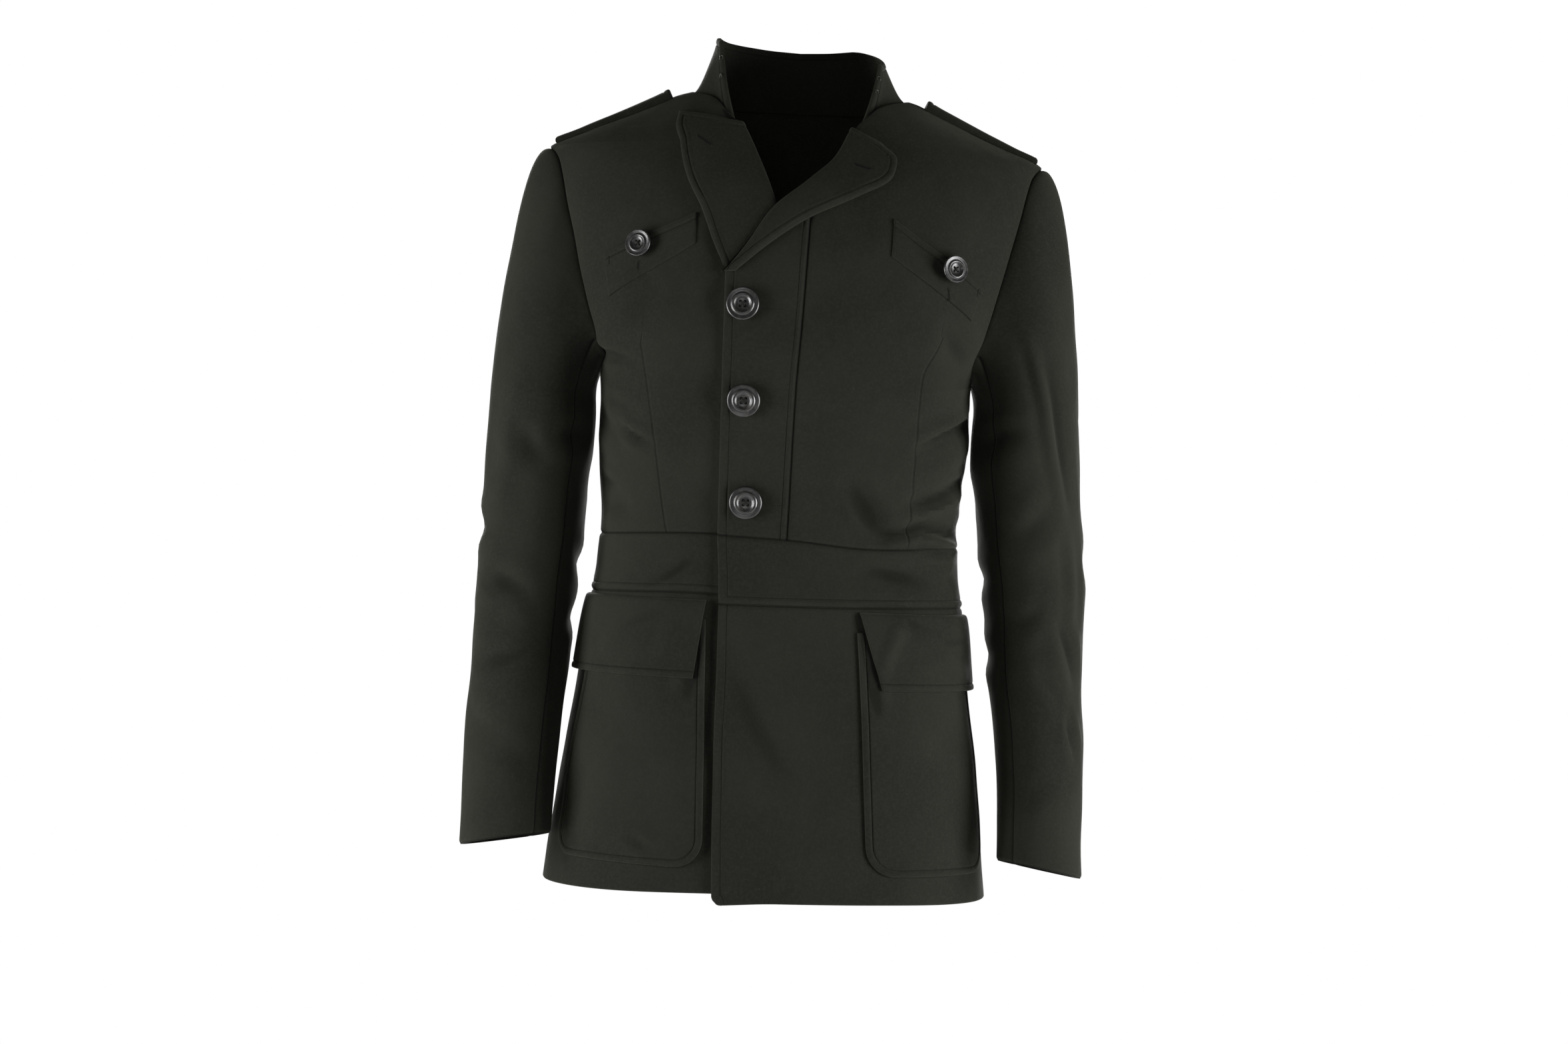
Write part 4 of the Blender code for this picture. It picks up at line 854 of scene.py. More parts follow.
def add_wall(node, low, high, fields):
    """The closed wall between two nets, standing for a node of the solids."""
    rows, across = low.shape[:2]
    points = np.concatenate([low.reshape(-1, 3), high.reshape(-1, 3)])
    uv = np.concatenate([net_lengths(high).reshape(-1, 2)] * 2)
    both = {name: np.tile(values.ravel(), 2) for name, values in fields.items()}
    faces = wall_faces(rows, across)
    obj = add_mesh(node + "_cloth", points, faces, wool, uv, both)
    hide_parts(node)
    outer = faces[(rows - 1) * (across - 1):2 * (rows - 1) * (across - 1)] - rows * across
    facing = np.cross(high[0, 1] - high[0, 0], high[1, 0] - high[0, 0]) @ (high - low)[0, 0]
    outer = outer[:, :: 1 if facing > 0 else -1]
    skins[node] = BVHTree.FromPolygons(high.reshape(-1, 3).tolist(), outer.tolist())


def cloth(node, skin, normal, sides, thick=WALL, moved=0.0, marks=None, rough=1.0, shade=0.0):
    """A panel whose outer face is the skin, with its edges finished and its stitched lines noted."""
    down, fields = lowered(skin, sides)
    bulge = moved + rough * ripples(skin)
    high = skin + normal * (bulge - down)[..., None]
    low = skin + normal * (bulge - thick)[..., None]
    fields["dart"] = np.full(down.shape, FAR) if marks is None else marks
    # crease depth plus the painted shade of hollows: the wool darkens its troughs as painted shade and
    # lightens its ridges as a painted highlight
    fields["fold"] = moved + shade + 0 * down
    add_wall(node, low, high, fields)
    note_stitches(node, skin, normal, sides)


def note_stitches(node, skin, normal, sides):
    """Keeps the lines that are sewn at an inset from the stitched sides, for the thread."""
    lines = []
    for side in ("left", "foot", "right", "top"):
        if side not in sides or not sides[side].inset:
            continue
        edge, inside = rim(skin, side)
        edge_normal = rim(normal, side)[0]
        run = unit(np.gradient(edge, axis=0))
        inward = np.cross(edge_normal, run)
        inward *= np.sign((inward * (inside - edge)).sum(-1).mean())
        lines.append((edge, edge + inward * sides[side].inset, sides[side].inset))
    for edge, line, inset in lines:
        clear = np.ones(len(line), bool)
        for other, _line, other_inset in lines:
            clear &= line_distance(line, other) > min(inset, other_inset) - 0.4
        if clear.sum() > 2:
            stitch_paths.append((node, line[clear]))


def panel(node, net, sides, offset=flat, thick=WALL, rise=0.0, marks=None):
    """Cloth on the torso: each place moved out by its own offset."""
    angle, z = net[..., 0], net[..., 1]
    skin = on_torso(net, offset(net) + rise)
    moved = creases(angle, z, CREASES, FOLD_RADIUS)
    cloth(node, skin, torso_normal(angle, z), sides, thick, moved, marks)


# ---- the panels ----


def side_places(side, waist, first_turn, last_turn, shoulder_rows):
    """Side seam, armhole and shoulder seam of a bodice panel, from the waist up."""
    angle, over_arm = side * radians(SIDE_ANGLE), side * pi / 2
    seam = spread(lambda s: place(angle, blend(waist, armhole["z"](180), s)), SIDE_ROWS)
    turns = lambda s: armhole_place(side, blend(first_turn, last_turn, s), HALF)
    heights = lambda s: place(over_arm, blend(SHOULDER_POINT_Z, SHOULDER_NECK_Z, s))
    arm, shoulder = spread(turns, ARMHOLE_STEPS // 2, True), spread(heights, shoulder_rows, True)
    return np.concatenate([seam, arm, shoulder])


def neck_front(side):
    return spread(lambda s: neck_place(side, blend(1.0, SHOULDER_FRONT_SHARE, s)), NECK_ROWS, True)


def dart_marks(net, line):
    """Signed distance of each place from a dart, and its distance from the dart's ends beyond them."""
    skin = on_torso(net)
    xz = skin[..., [0, 2]]
    points = np.array([(point.x, point.z) for point in line], float)
    heights = np.clip(xz[..., 1], points[:, 1].min(), points[:, 1].max())
    across = xz[..., 0] - Curve([(point.z, point.x) for point in line])(heights)
    beyond = xz[..., 1] - heights
    return np.where(across < 0, -1, 1) * np.hypot(across, beyond)


def make_front_left():
    side = side_places(1, level_of(BAND_TOP_LEFT, SIDE_X), 180, 0, SHOULDER_ROWS)
    roll_top = [point for point in ROLL_LEFT if point.x >= CENTRE_SEAM[0].x]
    edge = np.concatenate([
        spread(line_places(CENTRE_SEAM[::-1]), BODICE_ROWS - ROLL_ROWS_LEFT - NECK_ROWS),
        spread(line_places(roll_top), ROLL_ROWS_LEFT, True),
        neck_front(1),
    ])
    foot = spread(cross_seam(BAND_TOP_LEFT, edge[0], side[0]), FRONT_LEFT_COLUMNS)
    foot[0], foot[-1] = edge[0], side[0]
    head = between(edge[-1], side[-1], FRONT_LEFT_COLUMNS)
    across = shares(FRONT_LEFT_COLUMNS, FRONT_LEFT_SIZE[0], EDGE_LINES, EDGE_LINES)
    up = shares(BODICE_ROWS, FRONT_LEFT_SIZE[1], EDGE_LINES)
    net = trimmed(coons(foot, head, edge, side, across, up), HALF, HALF, HALF, HALF)
    sides = {"left": SEAM, "right": SEAM, "foot": SEAM}
    panel("front_left", net, sides, marks=dart_marks(net, DART_LEFT))


def make_overlap_left():
    roll_foot = [point for point in ROLL_LEFT if point.x <= CENTRE_SEAM[0].x]
    edge = spread(line_places([EDGE_LEFT[1], EDGE_LEFT[0]]), OVERLAP_ROWS)
    seam = spread(line_places(CENTRE_SEAM[::-1]), OVERLAP_ROWS)
    foot = spread(cross_seam(BAND_TOP_LEFT, edge[0], seam[0]), OVERLAP_COLUMNS)
    roll = spread(line_places(roll_foot), OVERLAP_COLUMNS)
    foot[0], foot[-1] = edge[0], seam[0]
    roll[0], roll[-1] = edge[-1], seam[-1]
    across = shares(OVERLAP_COLUMNS, OVERLAP_SIZE[0], EDGE_LINES + STITCH_LINES, CENTRE_LINES)
    up = shares(OVERLAP_ROWS, OVERLAP_SIZE[1], EDGE_LINES)
    net = trimmed(coons(foot, roll, edge, seam, across, up), 0, HALF, HALF, 0)
    panel("overlap_left", net, {"left": STITCHED, "right": CENTRE_STITCHED, "foot": SEAM})


def make_front_right():
    side = side_places(-1, level_of(BAND_TOP_RIGHT, -SIDE_X), 180, 0, SHOULDER_ROWS)
    waist = level_of(BAND_TOP_RIGHT, EDGE_RIGHT_X)
    edge = np.concatenate([
        spread(
            lambda s: at_x(EDGE_RIGHT_X, blend(waist, ROLL_RIGHT[0].z, s)),
            BODICE_ROWS - ROLL_ROWS_RIGHT - NECK_ROWS,
        ),
        spread(line_places(ROLL_RIGHT), ROLL_ROWS_RIGHT, True),
        neck_front(-1),
    ])
    foot = spread(cross_seam(BAND_TOP_RIGHT, side[0], edge[0]), FRONT_COLUMNS)
    foot[0], foot[-1] = side[0], edge[0]
    head = between(side[-1], edge[-1], FRONT_COLUMNS)
    across = shares(FRONT_COLUMNS, FRONT_RIGHT_SIZE[0], EDGE_LINES, EDGE_LINES)
    up = shares(BODICE_ROWS, FRONT_RIGHT_SIZE[1], EDGE_LINES)
    net = trimmed(coons(foot, head, side, edge, across, up), HALF, 0, HALF, HALF)
    sides = {"left": SEAM, "foot": SEAM}
    panel("front_right", net, sides, lap, marks=dart_marks(net, DART_RIGHT))


def nape(share):
    """The neckline of the back, 0 at its left end and 1 at its right end."""
    left = share <= 0.5
    along = SHOULDER_BACK_SHARE * np.abs(1 - 2 * share)
    angle = np.radians(neckline["angle"](along))
    return place(np.where(left, angle, 2 * pi - angle), neckline["z"](along))


def make_back():
    left = side_places(1, BAND_TOP_BACK, 180, 360, SHOULDER_ROWS - 1)
    right = side_places(-1, BAND_TOP_BACK, 180, 360, SHOULDER_ROWS - 1)
    right[:, 0] += 2 * pi
    foot = between(left[0], right[0], BACK_COLUMNS)
    top = spread(nape, BACK_COLUMNS)
    top[0], top[-1] = left[-1], right[-1]
    across = shares(BACK_COLUMNS, BACK_SIZE[0], EDGE_LINES, EDGE_LINES)
    up = shares(BODICE_ROWS - 1, BACK_SIZE[1], EDGE_LINES, EDGE_LINES)
    net = trimmed(coons(foot, top, left, right, across, up), HALF, HALF, HALF, HALF)
    panel("back", net, {"left": SEAM, "right": SEAM, "foot": SEAM})


def right_ends(line):
    side_z = level_of(line, -SIDE_X)
    return place(-radians(SIDE_ANGLE), side_z), at_x(EDGE_RIGHT_X, level_of(line, EDGE_RIGHT_X))


def left_ends(line):
    edge_z = line[0].z
    return at_x(edge_left_x(edge_z), edge_z), place(radians(SIDE_ANGLE), level_of(line, SIDE_X))


def front_net(foot, head, rows, across, up):
    """A panel between two crossing seams of the front, each a line and its two ends."""
    low = spread(cross_seam(foot[0], *foot[1]), FRONT_COLUMNS)
    high = spread(cross_seam(head[0], *head[1]), FRONT_COLUMNS)
    start, end = between(low[0], high[0], rows), between(low[-1], high[-1], rows)
    return coons(low, high, start, end, across, up)


def make_bands_and_skirts():
    right = [(line, right_ends(line)) for line in (BAND_TOP_RIGHT, BAND_FOOT_RIGHT, HEM_RIGHT)]
    left = [(line, left_ends(line)) for line in (BAND_TOP_LEFT, BAND_FOOT_LEFT, HEM_LEFT)]
    levels = (BAND_TOP_BACK, BAND_FOOT_BACK, HEM_BACK)
    start, end = radians(SIDE_ANGLE), 2 * pi - radians(SIDE_ANGLE)
    for word, rows, head, foot in (("waistband_", BAND_ROWS, 0, 1), ("skirt_", SKIRT_ROWS, 1, 2)):
        band = foot == 1
        hem, height, rise = (HALF, BAND_HEIGHT, BAND_RISE) if band else (0, SKIRT_HEIGHT, 0.0)
        foot_side = BAND_STITCHED if band else FREE
        foot_lines = EDGE_LINES + BAND_LINES if band else EDGE_LINES
        up = shares(rows, height, foot_lines, EDGE_LINES)
        sides = {"left": SEAM, "foot": foot_side, "top": SEAM}
        across = shares(FRONT_COLUMNS, SKIRT_WIDTHS["right"], EDGE_LINES)
        net = trimmed(front_net(right[foot], right[head], rows, across, up), HALF, 0, hem, HALF)
        panel(word + "right", net, sides, lap, rise=rise)
        sides = {"left": STITCHED, "right": SEAM, "foot": foot_side, "top": SEAM}
        across = shares(FRONT_COLUMNS, SKIRT_WIDTHS["left"], EDGE_LINES + STITCH_LINES, EDGE_LINES)
        net = trimmed(front_net(left[foot], left[head], rows, across, up), 0, HALF, hem, HALF)
        if not band:
            net = rounded_corner(net)
        panel(word + "left", net, sides, rise=rise)
        ends = [place(start, levels[foot]), place(end, levels[foot])]
        ends += [place(end, levels[head]), place(start, levels[head])]
        across = shares(SKIRT_BACK_COLUMNS, SKIRT_WIDTHS["back"], EDGE_LINES, EDGE_LINES)
        net = trimmed(four_sided(ends, rows, SKIRT_BACK_COLUMNS, across, up), HALF, HALF, hem, HALF)
        sides = {"left": SEAM, "right": SEAM, "foot": foot_side, "top": SEAM}
        panel(word + "back", net, sides, rise=rise)


def rounded_corner(net):
    """Rounds the lower front corner of the left skirt."""
    skin = on_torso(net)
    done = net.copy()
    near_x = skin[..., 0] - skin[0, 0, 0]
    near_z = skin[..., 2] - skin[0, 0, 2]
    pull = np.clip(1 - near_x / CORNER_RADIUS, 0, 1) ** 2
    lift = np.clip(1 - near_z / CORNER_RADIUS, 0, 1) ** 2
    done[..., 0] += CORNER_PULL * pull * lift / np.linalg.norm(skin[..., :2], axis=-1)
    done[..., 1] += CORNER_PULL * pull * lift
    return done


# ---- pieces that lie on the panels ----


def four_sided(corners, rows, count, across=None, up=None):
    """A net between four corners, given in order round it."""
    low_left, low_right, high_right, high_left = corners
    return coons(
        between(low_left, low_right, count),
        between(high_left, high_right, count),
        between(low_left, high_left, rows),
        between(low_right, high_right, rows),
        across,
        up,
    )


def mirrored(corners):
    """The same corners in order round a piece on the other side of the coat."""
    return [corners[k] for k in (1, 0, 3, 2)]


def patch(node, net, lift, thick, sides, under=flat, billow=0.0, bumps=(), roll=None, painted_shade=()):
    """A piece moved out from the panel below it, by the first lift at its foot and the second at its top."""
    u, v = np.meshgrid(np.linspace(0, 1, net.shape[1]), np.linspace(0, 1, net.shape[0]))
    swell = billow * np.sin(pi * v) * np.sin(pi * u)
    base = under(net) + blend(lift[0], lift[1], v**FLAP_BEND) + swell
    angle, z = net[..., 0], net[..., 1]
    moved = creases(angle, z, CREASES, FOLD_RADIUS)
    moved = moved + np.maximum(creases(angle, z, bumps, FOLD_RADIUS), BUMP_FLOOR)
    skin, normal = on_torso(net, base + thick), torso_normal(angle, z)
    # painted shade: these hollows only darken the wool's tone, with no shape of their own
    shade = creases(angle, z, painted_shade, FOLD_RADIUS)
    if roll is not None:
        skin, normal, moved, thick = rolled(skin, normal, moved, thick, roll)
        shade = 0.0
    cloth(node, skin, normal, sides, thick, moved, shade=shade)


def rolled(skin, normal, moved, thick, radius):
    """Adds columns before the first one, in which the cloth turns round to the back of the front."""
    out = skin[:, 0] - skin[:, 1]
    out = unit(out - normal[:, 0] * (out * normal[:, 0]).sum(-1, keepdims=True))[:, None]
    turns = np.linspace(-pi / 2, pi / 2, ROLL_COLUMNS, endpoint=False)[None, :, None]
    ring = out * np.cos(turns) + normal[:, :1] * np.sin(turns)
    centre = skin[:, 0] - normal[:, 0] * radius[:, None]
    roll = centre[:, None] + ring * radius[:, None, None]
    inner = np.minimum(thick, ROLL_FILL * radius)[:, None] * np.ones(ROLL_COLUMNS)
    skin, normal = np.concatenate([roll, skin], 1), np.concatenate([ring, normal], 1)
    thick = np.concatenate([inner, np.full(moved.shape, thick)], 1)
    moved = np.concatenate([np.repeat(moved[:, :1], ROLL_COLUMNS, 1), moved], 1)
    return skin, normal, moved, thick


def make_pockets():
    for pocket in POCKETS:
        bends = [acos(1 - d / POCKET_CORNER) / (pi / 2) * CORNER_ROWS / POCKET_ROWS for d in SMALL_LINES]
        up = shares(POCKET_ROWS, 1.0, bends, [d / POCKET_SIZE[1] for d in EDGE_LINES])
        across = shares(POCKET_COLUMNS, POCKET_SIZE[0], SEWN_LINES, SEWN_LINES)
        turn = pi / 2 * np.minimum(1, up * POCKET_ROWS / CORNER_ROWS)
        height = pocket.top_z - pocket.foot_z
        straight = (up * POCKET_ROWS - CORNER_ROWS) / (POCKET_ROWS - CORNER_ROWS)
        high = blend(POCKET_CORNER, height, straight)
        rise = np.where(turn < pi / 2, POCKET_CORNER * (1 - np.cos(turn)), high)
        inset = POCKET_CORNER * (1 - np.sin(turn))
        side = 1 if pocket.inner_foot_x > 0 else -1
        inner_x = blend(pocket.inner_foot_x, pocket.inner_top_x, rise / height)
        z = pocket.foot_z + rise
        inner = at_x(inner_x + side * inset, z)
        outer = side * (radians(pocket.outer_angle) - inset / torso["half_width"](pocket.foot_z))
        net = blend(inner[:, None], place(outer, z)[:, None], across[None, :, None])
        if side < 0:
            net = net[:, ::-1]
        sides = dict.fromkeys(("left", "right", "foot"), SMALL_STITCHED)
        lift = POCKET_LIFT, POCKET_LIFT
        patch(pocket.name, net, lift, WALL, sides, billow=POCKET_BILLOW, painted_shade=POCKET_PAINTED_SHADE)
    over_pocket = POCKET_LIFT + WALL + FLAP_CLEARANCE
    for flap in POCKET_FLAPS:
        side = 1 if flap.top_x > 0 else -1
        outer = side * radians(flap.outer_angle)
        inner_foot, inner_top = at_x(flap.foot_x, flap.foot_z), at_x(flap.top_x, flap.top_z)
        corners = [inner_foot, place(outer, flap.foot_z), place(outer, flap.top_z), inner_top]
        if side < 0:
            corners = mirrored(corners)
        up = shares(FLAP_ROWS, POCKET_FLAP_SIZE[1], SEWN_LINES, EDGE_LINES)
        across = shares(POCKET_COLUMNS, POCKET_FLAP_SIZE[0], SEWN_LINES, SEWN_LINES)
        net = four_sided(corners, FLAP_ROWS, POCKET_COLUMNS, across, up)
        sides = {"left": FREE, "right": FREE, "foot": SMALL_STITCHED, "top": SEAM}
        lift = over_pocket, 2 * GAP
        patch(flap.name, net, lift, WALL, sides, bumps=FLAP_CREASES, painted_shade=FLAP_PAINTED_SHADE)


def make_chest_flaps():
    for name, outline in (("chest_flap_right", CHEST_FLAP_RIGHT), ("chest_flap_left", CHEST_FLAP_LEFT)):
        corners = [at_x(*corner) for corner in outline]
        if outline[0].x < 0:
            corners = mirrored(corners)
        up = shares(CHEST_FLAP_ROWS, CHEST_FLAP_SIZE[1], SEWN_LINES, EDGE_LINES)
        across = shares(CHEST_FLAP_COLUMNS, CHEST_FLAP_SIZE[0], SEWN_LINES, SEWN_LINES)
        net = four_sided(corners, CHEST_FLAP_ROWS, CHEST_FLAP_COLUMNS, across, up)
        sides = {"left": FREE, "right": FREE, "foot": FREE, "top": SMALL_STITCHED}
        patch(name, net, (GAP, GAP), CHEST_FLAP_WALL, sides)


def right_lapel_inner(rows):
    """Inner edge of the right lapel: up along the left front's roll, then along its own."""
    crossing = ROLL_RIGHT[2]
    covered = [point for point in ROLL_LEFT if point.x < crossing.x] + [crossing]
    shown = [point for point in ROLL_RIGHT if point.z >= crossing.z]
    below = shift(spread(line_places(covered), rows // 2), -DEEP_WALL, 0)
    return np.concatenate([below, spread(line_places(shown), rows - rows // 2, True)])


def make_lapels():
    """Each lapel is worked from its roll, round which its cloth turns back, to its edge."""
    up = shares(LAPEL_ROWS, LAPEL_HEIGHT, EDGE_LINES, SEWN_LINES)
    left = spread(line_places(ROLL_LEFT), LAPEL_ROWS)
    right = shift(right_lapel_inner(LAPEL_ROWS), -GAP, 0)
    sides = {"right": SMALL_STITCHED, "top": SMALL_STITCHED}
    for node, roll, outline, count, opens_at, under in (
        ("lapel_left", left, LAPEL_LEFT_EDGE, LAPEL_COLUMNS, 0.0, flat),
        ("lapel_right", right, LAPEL_RIGHT_EDGE, LAPEL_COLUMNS + 1, ROLL_RIGHT_OPENS, lap),
    ):
        edge = spread(line_places(outline), LAPEL_ROWS)
        foot, head = between(roll[0], edge[0], count), between(roll[-1], edge[-1], count)
        net = coons(foot, head, roll, edge, shares(count, LAPEL_WIDTHS[node], EDGE_LINES, SEWN_LINES), up)
        radius = blend(ROLL_START_RADIUS, ROLL_RADIUS, ease((up - opens_at) / ROLL_FADE))
        lift = LAPEL_LIFT, LAPEL_LIFT
        patch(node, net, lift, DEEP_WALL, sides, under, LAPEL_BILLOW, LAPEL_CREASES, radius)


def over_shoulder(x, y):
    """The places on top of the shoulder with this x and y, found by halving the height range."""
    angle = np.arctan2(x, -y)
    low, high = np.full(x.shape, STRAP_LOWEST_Z), np.full(x.shape, STRAP_HIGHEST_Z)
    for _step in range(24):
        z = (low + high) / 2
        inside = np.hypot(x, y) < np.linalg.norm(torso_point(angle, z)[..., :2], axis=-1)
        low, high = np.where(inside, z, low), np.where(inside, high, z)
    return place(angle, (low + high) / 2)


def make_straps():
    """Shoulder straps, lying over the shoulder seam from the armhole towards the collar."""
    for name, side in (("epaulette_right", -1), ("epaulette_left", 1)):
        along = shares(STRAP_ROWS, STRAP_SIZE[1], SEWN_LINES, SEWN_LINES)
        aside = shares(STRAP_COLUMNS, STRAP_SIZE[0], SEWN_LINES, SEWN_LINES)
        x = blend(STRAP_OUTER_X, STRAP_INNER_X, along)[:, None]
        y = side * blend(-STRAP_HALF_WIDTH, STRAP_HALF_WIDTH, aside)[None, :]
        x, y = np.broadcast_arrays(side * x, y)
        net = over_shoulder(x, y)
        lift = blend(STRAP_LIFT_OUTER, STRAP_LIFT_INNER, along)[:, None] + STRAP_WALL
        lift = lift - STRAP_DROOP * np.abs(2 * aside[None] - 1) ** 3
        skin = on_torso(net, lift)
        sides = {"left": SMALL_STITCHED, "right": SMALL_STITCHED, "foot": FREE, "top": SMALL_STITCHED}
        cloth(name, skin, torso_normal(net[..., 0], net[..., 1]), sides, lift - GAP, rough=0.5)


# ---- sleeves and collar ----


def arm_ring(side, z, turn):
    """Points on the arm section at this height: turn 0 faces out, 90 forward, 180 the body."""
    word = "left" if side > 0 else "right"
    near, far = arms[word + "_near"](z), arms[word + "_far"](z)
    pitch = np.radians(arms["pitch"](z))
    out = np.cos(np.radians(turn)) * (far - near) / 2
    forward = np.sin(np.radians(turn)) * arms["half_depth"](z)
    drop = out * CUFF_ROLL * ease((CUFF_ROLL_FROM - z) / CUFF_ROLL_OVER)
    x = side * ((near + far) / 2 + out)
    return np.stack([x, arms["y"](z) - forward * np.cos(pitch), z + forward * np.sin(pitch) - drop], -1)


def sleeve_point(side, turn, ring):
    """Rings run from the armhole, ring 0, through the sleeve head and down the arm."""
    top_z = ARMS[0].z
    below = arm_ring(side, blend(top_z, CUFF_Z[side], np.maximum(0, ring - CAP_RINGS) / ARM_RINGS), turn)
    start = on_torso(armhole_place(side, turn, -HALF))
    end = arm_ring(side, np.full(turn.shape, top_z), turn)
    middle = start * np.array([1, 0, 0]) + np.array([0, 0, ARMHOLE_MIDDLE_Z])
    leave = unit(np.array([side, 0, 0]) + unit(start - middle) * CAP_FULLNESS)
    length = np.linalg.norm(end - start, axis=-1, keepdims=True)
    s = np.minimum(ring / CAP_RINGS, 1)[..., None]
    head = start * ((1 + 2 * s) * (1 - s) ** 2) + leave * length * CAP_START_PULL * (s * (1 - s) ** 2)
    head = head + end * (s * s * (3 - 2 * s))
    head = head + np.array([0, 0, 1]) * length * CAP_END_PULL * (s * s * (1 - s))
    return np.where((ring > CAP_RINGS)[..., None], below, head)


def make_sleeves():
    half = np.degrees(HALF / ARMS[0].half_depth)
    step = 360 / ARMHOLE_STEPS
    for word, side in (("right", -1), ("left", 1)):
        top = SEAM_BACK - 360 + half, SEAM_FRONT - half
        under = SEAM_FRONT + half, SEAM_BACK - half
        for part, turns in (("top_", top), ("under_", under)):
            count = round((turns[1] - turns[0]) / step)
            across = shares(count, (turns[1] - turns[0]), EDGE_LINES, EDGE_LINES)
            up = shares(CAP_RINGS + ARM_RINGS, SLEEVE_HEIGHT, EDGE_LINES, EDGE_LINES)
            turn, ring = np.meshgrid(blend(*turns, across), up * (CAP_RINGS + ARM_RINGS))
            skin = sleeve_point(side, turn, ring)
            round_it = sleeve_point(side, turn + 1, ring) - sleeve_point(side, turn - 1, ring)
            above, below = ring - 0.5, np.minimum(CAP_RINGS + ARM_RINGS, ring + 0.5)
            down_it = sleeve_point(side, turn, below) - sleeve_point(side, turn, above)
            normal = unit(np.cross(round_it, down_it)) * side
            seat = armhole_place(side, turn[0], -HALF)
            at_armhole = torso_normal(seat[..., 0], seat[..., 1])[None]
            normal = unit(blend(at_armhole, normal, ease(ring / SLEEVE_TURN_RINGS)[..., None]))
            table = SLEEVE_CREASES_LEFT if side > 0 else SLEEVE_CREASES_RIGHT
            moved = creases(np.radians(turn), skin[..., 2], table, SLEEVE_RADIUS)
            moved = moved + sleeve_head_fullness(turn, ring)
            sides = {"left": SEAM, "right": SEAM, "foot": FREE, "top": SEAM}
            cloth("sleeve_" + part + word, skin, normal, sides, WALL, moved * ease(ring * 2))


def sleeve_head_fullness(turn, ring):
    """Small uneven swellings where the sleeve head is eased into the armhole."""
    over = np.exp(-(((turn + 180) % 360 - 180) / HEAD_TURN) ** 2)
    waves = sum(share * np.sin(np.radians(turn) * count + start) for count, start, share in HEAD_WAVES)
    near = np.exp(-((ring - HEAD_RING) / HEAD_RINGS) ** 2)
    return HEAD_FULLNESS * over * (1 - HEAD_UNEVEN + HEAD_UNEVEN * waves) * near


def make_collar():
    """A standing collar from its left end round the nape to its right end, just above the neckline."""
    across = shares(COLLAR_COLUMNS, COLLAR_SIZE[0], SEWN_LINES, SEWN_LINES)
    up = shares(COLLAR_ROWS, COLLAR_SIZE[1], EDGE_LINES, SEWN_LINES)
    along = 1 - 2 * across
    side, share = np.where(along > 0, 1, -1), np.abs(along)
    foot = on_torso(neck_place(side, share), -WALL / 2)
    foot[:, 2] += COLLAR_SEAT
    head_z = np.where(along > 0, collar_top["left_z"](share), collar_top["right_z"](share))
    head = np.stack([side * collar_top["x"](share), collar_top["y"](share), head_z], -1)
    skin = blend(foot[None], head[None], (up**COLLAR_FLARE)[:, None, None])
    skin[..., 2] = blend(foot[None, :, 2], head[None, :, 2], up[:, None])
    normal = unit(np.cross(np.gradient(skin, axis=1), np.gradient(skin, axis=0)))
    sides = {"left": SMALL_STITCHED, "right": SMALL_STITCHED, "foot": SEAM, "top": SMALL_STITCHED}
    cloth("collar", skin, normal, sides, DEEP_WALL, COLLAR_BOW * np.sin(pi * up)[:, None], rough=0.8)


# ---- buttons ----


def ring_of(radius, sides):
    """Points round a circle, as x and y."""
    turns = np.linspace(0, 2 * pi, sides, endpoint=False)
    return radius * np.stack([np.cos(turns), np.sin(turns)], -1)


def level_ring(radius, height, sides, middle=(0, 0)):
    """A ring's points at one height, round a middle."""
    return np.column_stack([middle + ring_of(radius, sides), np.full(sides, height)])


def make_buttons():
    """Turned buttons with four holes, in place of the plain ones."""
    for button in BUTTONS:
        seat_place = at_x(button.x, button.z)
        seat = on_torso(seat_place, CHEST_BUTTON_LIFT if "chest" in button.name else BUTTON_LIFT)
        turned = np.array(Vector(torso_normal(*seat_place)).to_track_quat("Z", "Y").to_matrix())
        points = np.concatenate([level_ring(*ring, BUTTON_DETAIL) for ring in BUTTON_SHAPE]) * button.radius
        faces = tube_faces(len(BUTTON_SHAPE), BUTTON_DETAIL)
        uv = points[:, :2] / button.radius
        body = add_mesh(button.name + "_horn", seat + points @ turned.T, faces, horn, uv=uv, sharp=30)
        hole_turns = HOLES_START + np.arange(HOLES) * 2 * pi / HOLES
        for turn in hole_turns:
            add_hole(body, seat, turned, button.radius, turn)
        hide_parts(button.name)
        add_button_thread(button, seat, turned, hole_turns)


def add_hole(body, seat, turned, radius, turn):
    """Cuts one round hole through a button."""
    middle = np.array([cos(turn), sin(turn)]) * HOLE_RING
    ends = [level_ring(HOLE_RADIUS, height, HOLE_SIDES, middle) for height in (HOLE_FROM, HOLE_TO)]
    points = seat + np.concatenate(ends) * radius @ turned.T
    mesh = bpy.data.meshes.new("hole")
    mesh.from_pydata((points * MM).tolist(), [], tube_faces(2, HOLE_SIDES))
    cutter = link("hole", mesh)
    cut = body.modifiers.new("hole", "BOOLEAN")
    cut.operation, cut.solver, cut.object = "DIFFERENCE", "EXACT", cutter
    bpy.context.view_layer.update()
    done = bpy.data.meshes.new_from_object(body.evaluated_get(bpy.context.evaluated_depsgraph_get()))
    body.modifiers.clear()
    body.data = done
    bpy.data.objects.remove(cutter, do_unlink=True)


